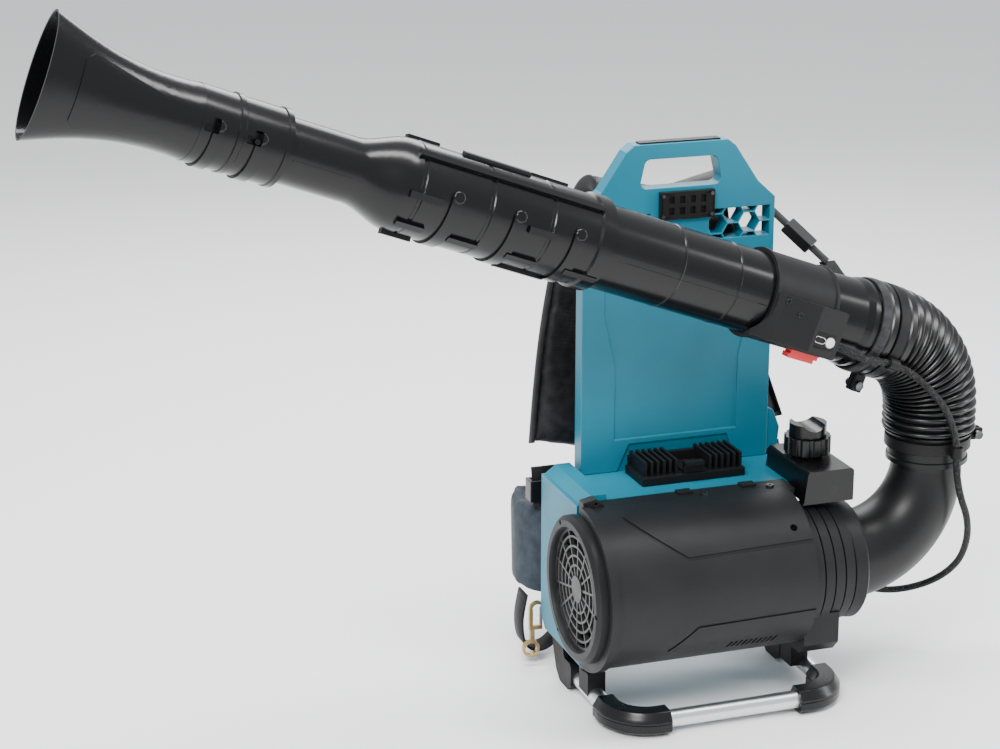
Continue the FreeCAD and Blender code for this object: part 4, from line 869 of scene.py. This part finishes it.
def make_cuff_band(looks):
    """The woven band on the hose's upper cuff."""
    angles = [math.tau * k / ROUND_STEPS for k in range(ROUND_STEPS)]
    rows = []
    for along, radius in CUFF_BAND:
        rows.append([on_pipe(radius * math.cos(a), radius * math.sin(a), along) for a in angles])
    mesh = grid_mesh("cuff_band_woven", rows, True, False)
    piece = new_piece("cuff_band_woven", mesh, looks["band"])
    wall = piece.modifiers.new("wall", "SOLIDIFY")
    wall.thickness = CUFF_BAND_WALL
    wall.offset = -1
    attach(piece, "hose_end")
    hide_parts("cuff_band")


# ---------------------------------------------------------------- small details
BEAD_STEPS = 10
BEAD_LEAN = Vector((0.31, 0.83, 0.46))   # not along any bead, so every section has a sideways direction


def tube_mesh(name, line, radius, closed=False):
    """A thin round bead along a line of points."""
    rows = []
    count = len(line)
    for i, place in enumerate(line):
        before = line[i - 1] if (i > 0 or closed) else line[0]
        after = line[(i + 1) % count] if (i < count - 1 or closed) else line[-1]
        along = (after - before).normalized()
        side = along.cross(BEAD_LEAN).normalized()
        lift = side.cross(along)
        angles = [math.tau * k / BEAD_STEPS for k in range(BEAD_STEPS)]
        rows.append([place + (side * math.cos(a) + lift * math.sin(a)) * radius for a in angles])
    if closed:
        rows.append(rows[0])
    return grid_mesh(name, rows, True, not closed)


POD_FACE = 59.0              # how far out the pod's display lies
BUTTON_S, BUTTON_Y = 106.0, -22.0
BUTTON_RIM_R = 6.0
BUTTON_RIM_STEPS = 32
DISPLAY_GAP = 11.5           # from the button's middle to the display's
DISPLAY_R = 3.2
DISPLAY_STEPS = 28
DISPLAY_STRETCH = (4.125, -2.475)    # how far its two round ends are pulled apart


def make_pod_details(looks):
    """The pale outline round the battery display, and a dark steel rim round the button."""
    outline = []
    for i in range(DISPLAY_STEPS):
        angle = math.tau * i / DISPLAY_STEPS
        pull = DISPLAY_STRETCH[0] if math.cos(angle) > 0 else DISPLAY_STRETCH[1]
        outline.append(on_pipe(POD_FACE, BUTTON_Y + DISPLAY_R * math.sin(angle),
                               BUTTON_S + DISPLAY_GAP + pull + DISPLAY_R * math.cos(angle)))
    pill = new_piece("display_outline", tube_mesh("display_outline", outline, 0.0003, True),
                     looks["white"])
    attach(pill, "handle_pipe")
    angles = [math.tau * i / BUTTON_RIM_STEPS for i in range(BUTTON_RIM_STEPS)]
    rim = [on_pipe(POD_FACE, BUTTON_Y + BUTTON_RIM_R * math.sin(a), BUTTON_S + BUTTON_RIM_R * math.cos(a))
           for a in angles]
    ring = new_piece("button_rim", tube_mesh("button_rim", rim, 0.0004, True), looks["steel"])
    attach(ring, "handle_pipe")


POD_SCREWS = ((58.4, -4, 150), (55.6, 6, 167))
POD_SCREW_R = 2.6
POD_SCREW_STEPS = 24


def make_pod_screws(looks):
    """Raised rims where the control pod's two cover screws sit."""
    angles = [math.tau * k / POD_SCREW_STEPS for k in range(POD_SCREW_STEPS)]
    for i, (out, up, along) in enumerate(POD_SCREWS):
        rim = [on_pipe(out, up + POD_SCREW_R * math.sin(a), along + POD_SCREW_R * math.cos(a))
               for a in angles]
        name = f"pod_screw_rim_{i + 1}"
        edge = new_piece(name, tube_mesh(name, rim, 0.0005, True), looks["gloss"])
        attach(edge, "handle_pipe")


SEAM_STEPS = 12


def seam_line(name, radius, low, high, angle, body, looks):
    """A fine mould seam along a pipe."""
    out, up = radius * math.cos(angle), radius * math.sin(angle)
    line = [on_pipe(out, up, low + (high - low) * i / SEAM_STEPS) for i in range(SEAM_STEPS + 1)]
    piece = new_piece(name, tube_mesh(name, line, 0.00035), looks["pipe"])
    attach(piece, body)


def make_seams(looks):
    """Mould seams on both sides of the pipes."""
    for side, angle in (("open", math.radians(-8)), ("panel", math.radians(172))):
        seam_line(f"main_pipe_seam_{side}", 42.05, 182, 362, angle, "handle_pipe", looks)
        seam_line(f"tube_seam_{side}", 31.05, 645, 705, angle, "front_pipe", looks)


# ---------------------------------------------------------------- studio
FLOOR_HALF = 30.0
FLOOR_DROP = 0.0005
LAMP_AIM = (-50, 0, 200)
# name, place, size in metres, power in watts
LAMPS = (
    ("key_light", (-1500, -1700, 2100), (1.0, 0.8), 80),
    ("top_light", (-100, -100, 2300), (2.6, 0.45), 85),
    ("side_light", (2100, -700, 700), (0.3, 1.8), 26),
    ("back_light", (300, 1800, 1500), (1.6, 1.0), 35),
)


def make_studio():
    """A pale floor and soft lights."""
    paint = Painter("studio_floor", (0.93, 0.93, 0.93), 0.9)
    paint.spread(paint.noise(3), 0.85, 0.95, "Roughness")
    corners = [(-FLOOR_HALF, -FLOOR_HALF, 0), (FLOOR_HALF, -FLOOR_HALF, 0), (FLOOR_HALF, FLOOR_HALF, 0),
               (-FLOOR_HALF, FLOOR_HALF, 0)]
    mesh = bpy.data.meshes.new("studio_floor")
    mesh.from_pydata(corners, [], [(0, 1, 2, 3)])
    floor = bpy.data.objects.new("studio_floor", mesh)
    floor.location.z = -FLOOR_DROP
    mesh.materials.append(paint.material)
    bpy.context.scene.collection.objects.link(floor)
    world = bpy.data.worlds.new("studio")
    world.use_nodes = True
    world.node_tree.nodes["Background"].inputs["Color"].default_value = (0.96, 0.97, 1.0, 1)
    world.node_tree.nodes["Background"].inputs["Strength"].default_value = 0.88
    bpy.context.scene.world = world
    for name, place, size, power in LAMPS:
        data = bpy.data.lights.new(name, "AREA")
        data.shape = "RECTANGLE"
        data.size, data.size_y = size
        data.energy = power
        lamp = bpy.data.objects.new(name, data)
        lamp.location = at(*place)
        aim = at(*LAMP_AIM) - lamp.location
        lamp.rotation_euler = aim.to_track_quat("-Z", "Y").to_euler()
        bpy.context.scene.collection.objects.link(lamp)


def main():
    make_camera()
    looks = make_materials()
    dress_nodes(looks)
    make_bellows(looks)
    make_cables(looks)
    make_hanger(looks)
    make_pads(looks)
    make_strap_edges(looks)
    make_harness_webs(looks)
    make_cuff_band(looks)
    make_pod_details(looks)
    make_pod_screws(looks)
    make_seams(looks)
    make_studio()


main()
